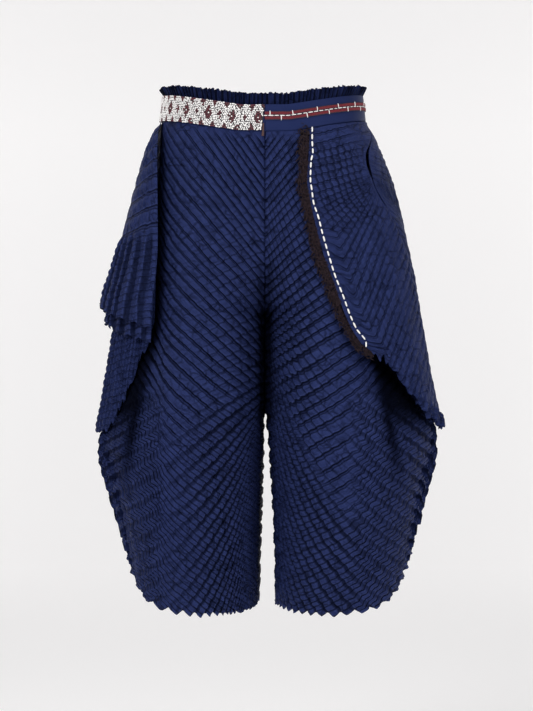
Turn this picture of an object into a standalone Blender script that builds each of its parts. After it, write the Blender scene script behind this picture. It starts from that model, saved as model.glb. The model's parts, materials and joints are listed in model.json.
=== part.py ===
"""Wide cropped trousers in cross-pleated cloth, filled out as if worn.

The waist is a band with a gathered heading above it. Each leg is a pair of petals, one front and one
back, whose hems rise at the outer side. Pleated drapes stand out from both hips, and the one on the
wearer's left is a wrapped overlay edged with a fringe.

Metres, +Z up, the front faces -Y, the wearer's left is +X. The origin is the middle of the waistband.
"""

import math
from collections import namedtuple

import bmesh
import bpy
import numpy as np
from mathutils import Vector

RIGHT, LEFT = -1, 1
FRONT, BACK = -1, 1

# Driving sizes
CLOTH = 0.0016
SLIVER = 0.0021
HEADING_THICK = 0.0012
BAND_THICK = 0.0024
BAND_HALF = 0.018
BAND_ANGLES = tuple(range(-90, 91, 12))
BACK_BAND_ANGLES = tuple(range(-90, 91, 10))
BAND_GAP = 0.0008
SEAM_GAP = 0.0004
EDGE_SHOWN = 0.0004
BEAD_START = -84
BEAD_SLANT = 24
BRAID_START = -85
STRIP_END = 89
BRAID_THICK = 0.0008
BRAID_LOW = -0.0048
BRAID_HIGH = 0.0068
HEADING_TOP = 0.0345
HEADING_FLARE = 0.0045
HEADING_WAVES = 34
HEADING_GATHER = 0.0022
HEADING_GATHER_AT_BAND = 0.0005
HEADING_RAGGED = 0.0009
FRONT_DIP = 0.0228
DIP_FADE_HEIGHT = -0.15
DIP_POWER = 1.7
SEAM_HALF_GAP = 0.0006
CROTCH = -0.285
TIP = -0.465
LEAN = 0.0015
LEAN_HALF_WAVE = 0.04

FRONT_PITCH = 0.0166
BACK_PITCH = 0.0216
PLEAT_RISE = 0.0021
TOOTH = 0.0026
SEAM_CALM = 0.016
FLY_CALM = 0.012
INSEAM_CALM = 0.050
HEM_CALM = 0.025
WAIST_CALM = 0.020
EDGE_REACH = 0.004
DRAPE_RISE = 0.0030
OVERLAY_RISE = 0.0018
DOWN_TO_INSEAM = math.radians(52)
DOWN_TO_SIDE = math.radians(45)
TO_INSEAM = Vector((math.sin(DOWN_TO_INSEAM), -math.cos(DOWN_TO_INSEAM)))
TO_SIDE = Vector((math.sin(DOWN_TO_SIDE), math.cos(DOWN_TO_SIDE)))
BORDER_ACROSS = -0.020
BORDER_HEIGHT = -0.310
BORDER = TO_SIDE.dot((BORDER_ACROSS, BORDER_HEIGHT))

# The body and legs, level by level: how far the sides, front, back and inseams stand from the middle
Level = namedtuple("Level", "height side_right side_left front back inseam_right inseam_left middle")
BODY = (
    Level(0.060, 0.1390, 0.1350, 0.096, 0.096, 0.0012, 0.0012, 0.028),
    Level(0.018, 0.1405, 0.1365, 0.098, 0.098, 0.0012, 0.0012, 0.030),
    Level(-0.018, 0.1445, 0.1400, 0.102, 0.104, 0.0012, 0.0012, 0.034),
    Level(-0.080, 0.1470, 0.1440, 0.108, 0.118, 0.0012, 0.0012, 0.050),
    Level(-0.150, 0.1500, 0.1470, 0.114, 0.130, 0.0012, 0.0012, 0.064),
    Level(-0.220, 0.1515, 0.1480, 0.118, 0.134, 0.0013, 0.0013, 0.074),
    Level(-0.285, 0.1540, 0.1490, 0.122, 0.130, 0.0016, 0.0016, 0.080),
    Level(-0.340, 0.1790, 0.1600, 0.126, 0.128, 0.0016, 0.0016, 0.084),
    Level(-0.367, 0.1910, 0.1780, 0.128, 0.129, 0.0016, 0.0016, 0.087),
    Level(-0.395, 0.2030, 0.2000, 0.131, 0.131, 0.0016, 0.0016, 0.091),
    Level(-0.420, 0.2135, 0.2200, 0.134, 0.134, 0.0016, 0.0018, 0.096),
    Level(-0.445, 0.2225, 0.2345, 0.138, 0.138, 0.0018, 0.0040, 0.102),
    Level(-0.470, 0.2270, 0.2345, 0.141, 0.141, 0.0022, 0.0066, 0.108),
    Level(-0.510, 0.2170, 0.2240, 0.142, 0.142, 0.0036, 0.0090, 0.108),
    Level(-0.570, 0.2020, 0.2110, 0.139, 0.139, 0.0060, 0.0125, 0.104),
    Level(-0.630, 0.1890, 0.2000, 0.131, 0.131, 0.0080, 0.0150, 0.098),
    Level(-0.680, 0.1800, 0.1900, 0.120, 0.120, 0.0092, 0.0156, 0.093),
    Level(-0.715, 0.1740, 0.1830, 0.112, 0.112, 0.0096, 0.0156, 0.090),
)

# The centre seam's curve down to the crotch
SeamDepth = namedtuple("SeamDepth", "height share")
SEAM_CURVE = (
    SeamDepth(CROTCH, 0.0),
    SeamDepth(-0.274, 0.48),
    SeamDepth(-0.255, 0.78),
    SeamDepth(-0.230, 0.94),
    SeamDepth(-0.200, 0.985),
)

# The crease that parts each leg's front from its flared side: how far out it runs and how deep it is
Crease = namedtuple("Crease", "height across deep")
SIDE_CREASE = (
    Crease(-0.250, 0.152, 0.000),
    Crease(-0.330, 0.150, 0.014),
    Crease(-0.390, 0.155, 0.013),
    Crease(-0.430, 0.163, 0.009),
    Crease(-0.480, 0.171, 0.004),
    Crease(-0.530, 0.177, 0.000),
)
CREASE_WIDTH = 0.014

# The petals' hem: its height at each angle of the leg, 90 at the side seam, 0 in front, -90 at the inseam
HemPoint = namedtuple("HemPoint", "angle height")
PETAL_HEM = (
    HemPoint(-90, -0.6870),
    HemPoint(-45, -0.6935),
    HemPoint(0, -0.6955),
    HemPoint(30, -0.6900),
    HemPoint(45, -0.6830),
    HemPoint(55, -0.6740),
    HemPoint(65, -0.6600),
    HemPoint(72, -0.6400),
    HemPoint(78, -0.6000),
    HemPoint(84, -0.5500),
    HemPoint(87, -0.5100),
    HemPoint(90, TIP),
)
HEM_CORNER = 55
HEM_RADIUS = 0.11
BACK_HEM_SPREAD = 2.5
FRONT_LEVELS = (
    -0.080, -0.140, -0.200, -0.230, -0.255, -0.274, CROTCH, -0.325, -0.365, -0.405, -0.440,
    TIP, -0.510, -0.560, -0.610, -0.650, -0.670,
)  # fmt: skip

# The wearer's right hip drape: three tiers hung over each other
Drape = namedtuple("Drape", "height side depth front_edge")
RIGHT_DRAPE = (
    Drape(-0.0188, 0.1464, 0.104, 0.1446),
    Drape(-0.0300, 0.1545, 0.105, 0.1475),
    Drape(-0.0560, 0.1665, 0.106, 0.1482),
    Drape(-0.1120, 0.1825, 0.107, 0.1472),
    Drape(-0.1680, 0.1975, 0.108, 0.1462),
    Drape(-0.2200, 0.2130, 0.110, 0.1460),
    Drape(-0.2700, 0.2280, 0.113, 0.1462),
    Drape(-0.3300, 0.2400, 0.118, 0.1470),
    Drape(-0.4000, 0.2440, 0.125, 0.1500),
    Drape(-0.4600, 0.2460, 0.130, 0.1500),
)
LOWER_DRAPE = (
    Drape(-0.2350, 0.1985, 0.0925, 0.1440),
    Drape(-0.2700, 0.2045, 0.0930, 0.1440),
    Drape(-0.3300, 0.2145, 0.0970, 0.1460),
    Drape(-0.3720, 0.2215, 0.1060, 0.1500),
    Drape(-0.4120, 0.2285, 0.1160, 0.1500),
    Drape(-0.4490, 0.2345, 0.1240, 0.1500),
)
DRAPE_AXIS = 0.085
DRAPE_BACK_REACH = math.radians(64)
DRAPE_BACK_TURN = 1.1
BACK_FULLNESS = 1.16
DRAPE_WIDTH = 0.12
DRAPE_CALM = 0.010
DRAPE_DEEPENING = 0.20

# The tiers' hems: 1 at the front edge, 0 at the side, -1 at the back edge
TierHem = namedtuple("TierHem", "share height")
UPPER_TIER_HEM = (
    TierHem(-1.0, -0.300),
    TierHem(-0.5, -0.288),
    TierHem(0.0, -0.272),
    TierHem(0.5, -0.288),
    TierHem(1.0, -0.305),
)
MIDDLE_TIER_HEM = (
    TierHem(-0.96, -0.318),
    TierHem(-0.5, -0.308),
    TierHem(0.0, -0.295),
    TierHem(0.5, -0.310),
    TierHem(0.96, -0.326),
)
LOWER_TIER_HEM = (
    TierHem(-0.94, -0.310),
    TierHem(-0.80, -0.352),
    TierHem(-0.65, -0.398),
    TierHem(-0.42, -0.440),
    TierHem(0.0, -0.449),
    TierHem(0.42, -0.447),
    TierHem(0.51, -0.436),
    TierHem(0.60, -0.415),
    TierHem(0.70, -0.389),
    TierHem(0.80, -0.351),
    TierHem(0.88, -0.325),
    TierHem(0.94, -0.300),
)

# Each tier: where it starts, its levels, pleats, pleat depth and how far it reaches to front and back
Tier = namedtuple("Tier", "top levels hem pleats rise reach")
UPPER_LEVELS = (-0.032, -0.060, -0.105, -0.150, -0.195, -0.240)
UPPER_TIER = Tier(-0.0188, UPPER_LEVELS, UPPER_TIER_HEM, 8, DRAPE_RISE, 1.0)
MIDDLE_TIER = Tier(-0.175, (-0.195, -0.240, -0.280), MIDDLE_TIER_HEM, 8, DRAPE_RISE, 0.96)
LOWER_LEVELS = (-0.265, -0.300, -0.340, -0.375, -0.410)
LOWER_TIER = Tier(-0.240, LOWER_LEVELS, LOWER_TIER_HEM, 9, 0.0021, 0.94)
TUCK = CLOTH + 0.0010
MIDDLE_INSET = 0.0125
MIDDLE_INSET_TOP = -0.17
MIDDLE_INSET_FULL = -0.26

# The wearer's left overlay: how far out it stands at the side, and its fringed front edge
Overlay = namedtuple("Overlay", "height side")
LEFT_OVERLAY = (
    Overlay(-0.0188, 0.1427),
    Overlay(-0.0400, 0.1535),
    Overlay(-0.0654, 0.1634),
    Overlay(-0.1010, 0.1780),
    Overlay(-0.1270, 0.1850),
    Overlay(-0.1580, 0.1925),
    Overlay(-0.2110, 0.2040),
    Overlay(-0.2740, 0.2155),
    Overlay(-0.3090, 0.2210),
    Overlay(-0.3510, 0.2285),
    Overlay(-0.3900, 0.2365),
    Overlay(-0.4230, 0.2430),
    Overlay(-0.4450, 0.2480),
)
OVERLAY_LIFT = 0.0078
OVERLAY_TOP = -BAND_HALF - BAND_GAP
OVERLAY_TOP_LIFT = 0.0025
Edge = namedtuple("Edge", "height across")
FRINGED_EDGE = (
    Edge(-0.0190, 0.0605),
    Edge(-0.0690, 0.0584),
    Edge(-0.1000, 0.0568),
    Edge(-0.1250, 0.0592),
    Edge(-0.1590, 0.0662),
    Edge(-0.1900, 0.0739),
    Edge(-0.2120, 0.0801),
    Edge(-0.2400, 0.0909),
    Edge(-0.2680, 0.1003),
    Edge(-0.2960, 0.1108),
    Edge(-0.3270, 0.1293),
    Edge(-0.3420, 0.1450),
)
OVERLAY_HEM = (
    HemPoint(25.5, -0.3420),
    HemPoint(35, -0.3500),
    HemPoint(40, -0.3690),
    HemPoint(44, -0.3840),
    HemPoint(49, -0.3980),
    HemPoint(55, -0.4120),
    HemPoint(62, -0.4260),
    HemPoint(78, -0.4400),
    HemPoint(90, -0.4440),
)
OVERLAY_CORNER = 62
OVERLAY_LEVELS = (
    -0.045, -0.075, -0.1055, -0.145, -0.190, -0.235, -0.280, -0.315, -0.342, -0.370, -0.398, -0.423,
)  # fmt: skip
GATHER_HEIGHT = -0.1055
Split = namedtuple("Split", "height angle")
POCKET_SPLIT = (
    Split(-0.0190, 80),
    Split(-0.0654, 55),
    Split(GATHER_HEIGHT, 48.6),
    Split(-0.1600, 62),
    Split(-0.2500, 84),
    Split(-0.3300, 90),
    Split(-0.4410, 90),
)
POCKET_GAPE = 0.0070
SPLIT_GAP = 0.0014
FAN_STEP = math.radians(3.6)
OVERLAY_COLUMN = 0.018
OVERLAY_COLUMN_FOOT = -0.24
OVERLAY_CALM = 0.013
GATHER_CALM = 0.06
OVERLAY_BACK_REACH = 26
OVERLAY_BACK_PLEATS = 13
OVERLAY_BACK_LEVELS = (-0.045, -0.075, -0.1055, -0.145, -0.190, -0.235, -0.280, -0.320)
OVERLAY_HEM_ROWS = 3
OVERLAY_BACK_HEM = (
    TierHem(0.00, -0.4430),
    TierHem(0.30, -0.4350),
    TierHem(0.55, -0.4060),
    TierHem(0.78, -0.3680),
    TierHem(1.00, -0.3300),
)

FRINGE_LOCKS = 46
FRINGE_STRIP = 0.003
FRINGE_THICK = 0.0016
FRINGE_GAP = 0.0017
FRINGE_CLEAR = 0.0007
FRINGE_TOP = -0.0230
FRINGE_FOOT = -0.3400
LOCK_TOP_LENGTH = 0.0105
LOCK_FOOT_LENGTH = 0.0070
LOCK_UNEVEN = 0.0018
LOCK_DROOP = 0.0030
LOCK_TIP = 0.0014
TAB_TOP = -0.0055
TAB_LENGTH = 0.0180
TAB_TOP_WIDTH = 0.0018
TAB_FOOT_WIDTH = 0.0034
TAB_EDGE = -0.0012
TAB_THICK = 0.0012
TAB_LIFT = 0.0023

ROUGH_CLOTH = 0.62
NAVY = (0.020, 0.028, 0.090, 1)
BAND_NAVY = (0.022, 0.032, 0.105, 1)
BEAD_WHITE = (0.85, 0.84, 0.82, 1)
BRAID_RED = (0.28, 0.02, 0.03, 1)
FRINGE_BROWN = (0.045, 0.028, 0.028, 1)
TAB_BROWN = (0.09, 0.03, 0.025, 1)


def smooth(table, column, height):
    """A smooth curve through one column of a table whose heights go down."""
    heights = [row.height for row in table]
    values = [getattr(row, column) for row in table]
    if height >= heights[0]:
        return values[0]
    if height <= heights[-1]:
        return values[-1]
    i = next(k for k in range(len(heights) - 1) if heights[k + 1] <= height)

    def slope(k):
        if k == 0 or k == len(heights) - 1:
            return 0.0
        before = (values[k] - values[k - 1]) / (heights[k] - heights[k - 1])
        after = (values[k + 1] - values[k]) / (heights[k + 1] - heights[k])
        if before * after <= 0:
            return 0.0
        return 2 * before * after / (before + after)

    step = heights[i + 1] - heights[i]
    t = (height - heights[i]) / step
    start = values[i] * (1 + 2 * t) + slope(i) * step * t
    end = values[i + 1] * (3 - 2 * t) + slope(i + 1) * step * (t - 1)
    return start * (1 - t) ** 2 + end * t * t


def hem_angle(hem, height):
    """The angle at which the hem's outer stretch reaches a height."""
    low = min(range(len(hem)), key=lambda k: hem[k].height)
    rising = hem[low:]
    return float(np.interp(height, [p.height for p in rising], [p.angle for p in rising]))


def dip(angle, height):
    """How far the waistline drops at the front, fading out below the hips."""
    fade = min(max((height - DIP_FADE_HEIGHT) / (-BAND_HALF - DIP_FADE_HEIGHT), 0.0), 1.0)
    turn = math.cos(math.radians(min(max(angle, 0.0), 90.0)))
    return -FRONT_DIP * turn**DIP_POWER * fade * fade * (3 - 2 * fade)


def seam_depth(height):
    """The centre seam's depth, as a share of the body's: nearly 1 above the curve of the crotch, 0 below."""
    return float(np.interp(height, [p.height for p in SEAM_CURVE], [p.share for p in SEAM_CURVE]))


class Body:
    """The surface of one quarter of the trousers, by angle (90 at the side seam) and height."""

    def __init__(self, side, half):
        self.side, self.half = side, half
        self.side_column = "side_right" if side == RIGHT else "side_left"
        self.seam_column = "inseam_right" if side == RIGHT else "inseam_left"
        self.depth_column = "front" if half == FRONT else "back"
        self.lines = {}

    def reach(self, height):
        return smooth(BODY, self.side_column, height)

    def depth(self, height):
        return smooth(BODY, self.depth_column, height)

    def crease(self, out, height):
        """How far the crease between the front and the flared side pulls the cloth in."""
        if self.half == BACK:
            return 0.0
        off = (out - smooth(SIDE_CREASE, "across", height)) / CREASE_WIDTH
        return smooth(SIDE_CREASE, "deep", height) * math.exp(-off * off)

    def section(self, angle, height):
        """Distances out to the side and out to the front or back."""
        middle = smooth(BODY, "middle", height)
        depth = self.depth(height)
        turn = math.radians(angle)
        if angle > 0:
            out = middle + (self.reach(height) - middle) * math.sin(turn)
            return out, depth * math.cos(turn) - self.crease(out, height) * math.cos(turn)
        inner = smooth(BODY, self.seam_column, height)
        kept = seam_depth(height) * depth
        return middle + (middle - inner) * math.sin(turn), kept + (depth - kept) * math.cos(turn)

    def point(self, angle, height):
        out, away = self.section(angle, height)
        x = self.side * out
        y = self.half * away
        z = height + (dip(angle, height) if self.half == FRONT else 0.0)
        near = max(0.0, 1 - out / LEAN_HALF_WAVE)
        if height < CROTCH and abs(y) < 2 * LEAN_HALF_WAVE:
            fade = min((CROTCH - height) / 0.03, 1.0)
            x += LEAN * math.sin(math.pi * y / LEAN_HALF_WAVE) * near * fade
        return Vector((x, y + self.half * SEAM_HALF_GAP, z))

    def turned_point(self, turn, height):
        """The same surface point, by an angle in radians."""
        return self.point(math.degrees(turn), height)

    def line(self, height):
        """Angles across the section, and the length of cloth from the foremost point to each."""
        key = round(height, 6)
        if key not in self.lines:
            angles = np.linspace(-90, 90, 73)
            spots = np.array([self.section(a, height) for a in angles])
            steps = np.hypot(*np.diff(spots, axis=0).T)
            lengths = np.concatenate([[0], np.cumsum(steps)])
            lengths -= np.interp(0, angles, lengths)
            self.lines[key] = angles, lengths
        return self.lines[key]

    def across(self, angle, height):
        """The pattern's sideways coordinate: where the foremost point is, plus the cloth from there."""
        angles, lengths = self.line(height)
        return smooth(BODY, "middle", height) + float(np.interp(angle, angles, lengths))

    def angle(self, across, height):
        angles, lengths = self.line(height)
        return float(np.interp(across - smooth(BODY, "middle", height), lengths, angles))


class OverlayBody(Body):
    """The wearer's left hip overlay, which stands out further than the body under it."""

    def crease(self, out, height):
        return 0.0

    def reach(self, height):
        return smooth(LEFT_OVERLAY, "side", height)

    def depth(self, height):
        share = fade_in(OVERLAY_TOP - height, 0.06)
        return super().depth(height) + OVERLAY_TOP_LIFT + (OVERLAY_LIFT - OVERLAY_TOP_LIFT) * share


class HipDrape:
    """A tier of the wearer's right hip drape, by share: 1 at its front edge, 0 at the side, -1 at the back."""

    def __init__(self, table, inset=0.0):
        self.table, self.inset = table, inset

    def edge_turn(self, height):
        side = smooth(self.table, "side", height)
        edge = smooth(self.table, "front_edge", height)
        return math.acos(min((edge - DRAPE_AXIS) / (side - DRAPE_AXIS), 1.0))

    def point(self, share, height):
        sunk = min(max((MIDDLE_INSET_TOP - height) / (MIDDLE_INSET_TOP - MIDDLE_INSET_FULL), 0.0), 1.0)
        inset = (TUCK + (self.inset - TUCK) * sunk) if self.inset else 0.0
        side = smooth(self.table, "side", height) - inset
        depth = smooth(self.table, "depth", height) - inset
        turn = share * self.edge_turn(height)
        if share < 0:
            turn = share * min(self.edge_turn(height) * DRAPE_BACK_TURN, DRAPE_BACK_REACH)
        y = -depth * math.sin(turn)
        drop = 0.0
        if share < 0:
            y *= BACK_FULLNESS
        else:
            drop = dip(math.degrees(math.acos(math.sin(turn))), height)
        return Vector((-(DRAPE_AXIS + (side - DRAPE_AXIS) * math.cos(turn)), y, height + drop))


def zigzag(phase):
    """A pleat's profile: 1 on each ridge, -1 in each valley."""
    return 4 * abs(phase - math.floor(phase + 0.5)) - 1


def flat_panel(polygons):
    """A flat mesh of neighbouring polygons in pattern coordinates."""
    bm = bmesh.new()
    for polygon in polygons:
        bm.faces.new([bm.verts.new((p[0], p[1], 0)) for p in polygon])
    bmesh.ops.remove_doubles(bm, verts=bm.verts, dist=1e-6)
    return bm


def cut(bm, normal, distance, zone=None):
    """Cuts the flat mesh along a straight line, or only the faces whose centre lies in a zone."""
    faces = [f for f in bm.faces if zone is None or zone(f.calc_center_median())]
    geometry = set(faces)
    for face in faces:
        geometry.update(face.edges)
        geometry.update(face.verts)
    bmesh.ops.bisect_plane(
        bm,
        geom=list(geometry),
        dist=2e-5,
        plane_co=Vector(normal).to_3d() * distance,
        plane_no=Vector(normal).to_3d(),
    )


def stack(levels, left, right, top, bottom):
    """Polygons one above the other between a left and a right edge. Top and bottom are lists of points."""
    polygons = [[*top, (right(levels[0]), levels[0]), (left(levels[0]), levels[0])]]
    for upper, lower in zip(levels, levels[1:]):
        polygons.append(
            [(left(upper), upper), (right(upper), upper), (right(lower), lower), (left(lower), lower)]
        )
    last = levels[-1]
    polygons.append([(left(last), last), (right(last), last), *bottom])
    return polygons


def tidy(bm):
    """Merges points that nearly meet and makes triangles."""
    bmesh.ops.remove_doubles(bm, verts=bm.verts, dist=SLIVER)
    bmesh.ops.dissolve_degenerate(bm, edges=bm.edges, dist=1e-5)
    bmesh.ops.triangulate(bm, faces=bm.faces)


def make_object(name, bm, material, thickness=CLOTH):
    """An object from a curved open sheet, given its thickness by Solidify."""
    bmesh.ops.recalc_face_normals(bm, faces=bm.faces)
    mesh = bpy.data.meshes.new(name)
    bm.to_mesh(mesh)
    bm.free()
    piece = bpy.data.objects.new(name, mesh)
    model.objects.link(piece)
    piece.data.materials.append(material)
    piece.data.shade_smooth()
    wall = piece.modifiers.new("Wall", "SOLIDIFY")
    wall.thickness = thickness
    wall.offset = 0.0
    wall.use_rim = True
    return piece


def make_material(name, colour, roughness, metallic=0.0):
    material = bpy.data.materials.new(name)
    material.use_nodes = True
    shader = material.node_tree.nodes["Principled BSDF"]
    shader.inputs["Base Color"].default_value = colour
    shader.inputs["Roughness"].default_value = roughness
    shader.inputs["Metallic"].default_value = metallic
    return material


def surface_normal(point, a, b, outward):
    """The outward unit normal of a surface given by two coordinates."""
    step = 1e-4
    along = point(a + step, b) - point(a - step, b)
    down = point(a, b - step) - point(a, b + step)
    normal = along.cross(down).normalized()
    return normal if normal.dot(outward) > 0 else -normal


def fade_in(distance, width):
    share = min(max(distance / width, 0.0), 1.0)
    return share * share * (3 - 2 * share)


def petal_polygons(body):
    """The flat pattern of one front or back: waist, side seam, hem, inseam and centre seam."""
    spread = BACK_HEM_SPREAD if body.half == BACK else 0.0
    tooth_angle = math.degrees(TOOTH / HEM_RADIUS)

    def inner(height):
        return body.across(-90, height)

    def outer(height):
        if height >= TIP:
            return body.across(90, height)
        low = fade_in(TIP - height, 0.03)
        return body.across(min(hem_angle(PETAL_HEM, height) + (spread - tooth_angle) * low, 90), height)

    waist = -BAND_HALF - BAND_GAP
    top = [(inner(waist), waist), (outer(waist), waist)]
    low = [p for p in reversed(PETAL_HEM) if p.angle < HEM_CORNER]
    bottom = [(body.across(p.angle, p.height), p.height + TOOTH) for p in low]
    return stack(FRONT_LEVELS, inner, outer, top, bottom), inner, outer


def pleat_wave(across, height, pitch):
    """A pleat's rise or fall at a pattern point. Upper and lower fields fold along different lines."""
    below = TO_SIDE.dot((across, height)) - BORDER
    if below > -1e-5:
        return zigzag(TO_INSEAM.dot((across, height)) / pitch)
    return zigzag(below / pitch)


def pleated_pattern(polygons, pitch):
    """The flat panel, cut along every ridge and valley of its two fields of pleats."""
    bm = flat_panel(polygons)
    cut(bm, TO_SIDE, BORDER)
    for step in range(-4, 110):
        cut(bm, TO_INSEAM, step * pitch / 2, lambda c: TO_SIDE.dot(c.to_2d()) > BORDER)
    for step in range(1, 60):
        cut(bm, TO_SIDE, BORDER - step * pitch / 2, lambda c: TO_SIDE.dot(c.to_2d()) < BORDER)
    tidy(bm)
    return bm


def petal_calm(body, across, height, start, end):
    """How deep the pleats are at a pattern point: they fade out towards seams and the waist."""
    inner_width = FLY_CALM + (INSEAM_CALM - FLY_CALM) * fade_in(CROTCH + 0.02 - height, 0.05)
    calm = fade_in(across - start, inner_width) * fade_in(-BAND_HALF - height, WAIST_CALM)
    if height > TIP:
        return calm * fade_in(end - across, SEAM_CALM)
    past_seam = body.across(90, height) - across + (TIP - height) * 0.4
    return calm * fade_in(past_seam, SEAM_CALM) * (0.5 + 0.5 * fade_in(end - across, HEM_CALM))


def build_petal(name, side, half, material):
    """One leg's front or back: a pleated wall from the waistband to the zigzag hem."""
    body = Body(side, half)
    pitch = FRONT_PITCH if half == FRONT else BACK_PITCH
    polygons, inner, outer = petal_polygons(body)
    bm = pleated_pattern(polygons, pitch)
    edge_points = {v for e in bm.edges if e.is_boundary for v in e.verts}
    for v in bm.verts:
        across, height = v.co.x, v.co.y
        wave = pleat_wave(across, height, pitch)
        start, end = inner(height), outer(height)
        hem = v in edge_points and height < TIP - EDGE_REACH and across > start + EDGE_REACH
        if v in edge_points and not hem:
            if across - start < EDGE_REACH:
                across = start
            elif end - across < EDGE_REACH:
                across = end
        calm = petal_calm(body, across, height, start, end)
        angle = body.angle(across, height)
        if hem:
            reach = TOOTH * (1 + wave * fade_in(across - start, 0.02))
            side_share = fade_in(height + 0.69, 0.04)
            angle = min(angle + math.degrees(reach * side_share / HEM_RADIUS), 89.9)
            height -= reach * (1 - side_share)
        turn = math.radians(angle)
        facing = Vector((side * (0.01 + math.sin(turn)), half * (0.01 + math.cos(turn)), 0))
        normal = surface_normal(body.turned_point, turn, height, facing)
        v.co = body.point(angle, height) + normal * PLEAT_RISE * wave * calm
    return make_object(name, bm, material)


def band_point(body, angle, height, lift):
    """A point a distance off the waistband, on the straight facets that all its pieces share."""
    k = max(i for i in range(len(BAND_ANGLES) - 1) if BAND_ANGLES[i] <= angle)
    start, end = BAND_ANGLES[k], BAND_ANGLES[k + 1]
    corners = []
    for corner in (start, end):
        turn = math.radians(max(corner, 0))
        facing = Vector((body.side * math.sin(turn), body.half * math.cos(turn), 0))
        corners.append(body.point(corner, height) + facing * lift)
    return corners[0].lerp(corners[1], (angle - start) / (end - start))


def band_strip(name, body, start, end, low, high, lift, thickness, material, slant=0.0):
    """A flat strip that follows the waistband between two angles, its first end cut on a slant."""
    angles = [start, *[a for a in BAND_ANGLES if start + slant + 1 < a < end - 1], end]
    bm = bmesh.new()
    rows = []
    for height in (high, low):
        shift = slant if height == low else 0.0
        row = []
        for angle in angles:
            spot = angle + shift if angle == start else angle
            row.append(bm.verts.new(band_point(body, spot, height, lift)))
        rows.append(row)
    for i in range(len(angles) - 1):
        bm.faces.new((rows[0][i], rows[0][i + 1], rows[1][i + 1], rows[1][i]))
    return make_object(name, bm, material, thickness)


def build_waistband(navy):
    """The band: a front on each side and one plain back, butted at the fly and the sides."""
    for name, side in (("waistband_front_right", RIGHT), ("waistband_front_left", LEFT)):
        band_strip(name, Body(side, FRONT), -90, 90, -BAND_HALF, BAND_HALF, 0, BAND_THICK, navy)
    bm = bmesh.new()
    rows = []
    for height in (BAND_HALF, -BAND_HALF):
        row = []
        for turn in BACK_BAND_ANGLES:
            body = Body(RIGHT if turn < 0 else LEFT, BACK)
            spot = body.point(abs(turn), height)
            spot.x = body.side * body.reach(height) * math.sin(math.radians(abs(turn)))
            row.append(bm.verts.new(spot))
        rows.append(row)
    for i in range(len(BACK_BAND_ANGLES) - 1):
        bm.faces.new((rows[0][i], rows[0][i + 1], rows[1][i + 1], rows[1][i]))
    make_object("waistband_back", bm, navy, BAND_THICK)


def build_bead_panel(white):
    """The beaded strip that covers the band on the wearer's right, its end cut on a slant."""
    lift = BAND_THICK / 2 + SEAM_GAP + CLOTH / 2
    low, high = -BAND_HALF + EDGE_SHOWN, BAND_HALF - EDGE_SHOWN
    body = Body(RIGHT, FRONT)
    band_strip("bead_panel", body, BEAD_START, STRIP_END, low, high, lift, CLOTH, white, BEAD_SLANT)


def build_stripe_braid(red):
    """The woven braid sewn along the band on the wearer's left."""
    lift = BAND_THICK / 2 + SEAM_GAP + BRAID_THICK / 2
    body = Body(LEFT, FRONT)
    band_strip("stripe_braid", body, BRAID_START, STRIP_END, BRAID_LOW, BRAID_HIGH, lift, BRAID_THICK, red)


def build_closure_tab(brown):
    """The small flat tab that hangs at the fly from under the beaded strip's end."""
    top = Body(RIGHT, FRONT).point(-80, TAB_TOP)
    foot = Body(RIGHT, FRONT).point(-80, TAB_TOP - TAB_LENGTH)
    bm = bmesh.new()
    corners = []
    for spot, width in ((top, TAB_TOP_WIDTH), (foot, TAB_FOOT_WIDTH)):
        for x in (TAB_EDGE - width, TAB_EDGE):
            corners.append(bm.verts.new((x, spot.y - TAB_LIFT, spot.z)))
    bm.faces.new((corners[0], corners[1], corners[3], corners[2]))
    tab = make_object("closure_tab", bm, brown, TAB_THICK)
    rounding = tab.modifiers.new("Rounded", "BEVEL")
    rounding.width = 0.0003
    rounding.segments = 2


def build_heading(navy):
    """The gathered heading that stands above the band all round, with a ragged top edge."""
    bm = bmesh.new()
    columns = HEADING_WAVES * 2
    base = BAND_HALF + BAND_GAP
    heights = (base, base + (HEADING_TOP - base) * 0.45, HEADING_TOP)
    rows = []
    for r, height in enumerate(heights):
        share = r / (len(heights) - 1)
        row = []
        for i in range(columns):
            turn = 2 * math.pi * i / columns
            x, y = math.cos(turn), math.sin(turn)
            body = Body(LEFT if x >= 0 else RIGHT, FRONT if y < 0 else BACK)
            angle = math.degrees(math.atan2(abs(x), abs(y)))
            spot = body.point(angle, BAND_HALF)
            spot.y = body.half * smooth(BODY, body.depth_column, BAND_HALF) * abs(y)
            spot.x = body.side * body.reach(BAND_HALF) * abs(x)
            facing = Vector((x, y, 0))
            depth = HEADING_GATHER_AT_BAND + (HEADING_GATHER - HEADING_GATHER_AT_BAND) * share
            gather = depth if i % 2 else -depth
            ragged = HEADING_RAGGED * share * (math.sin(i * 2.4) + 0.7 * math.sin(i * 5.1 + 1))
            spot += facing * (HEADING_FLARE * share + gather)
            spot.z += height - BAND_HALF + ragged
            row.append(bm.verts.new(spot))
        rows.append(row)
    for upper, lower in zip(rows[1:], rows):
        for i in range(columns):
            j = (i + 1) % columns
            bm.faces.new((upper[i], upper[j], lower[j], lower[i]))
    make_object("waist_heading", bm, navy, HEADING_THICK)


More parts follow.
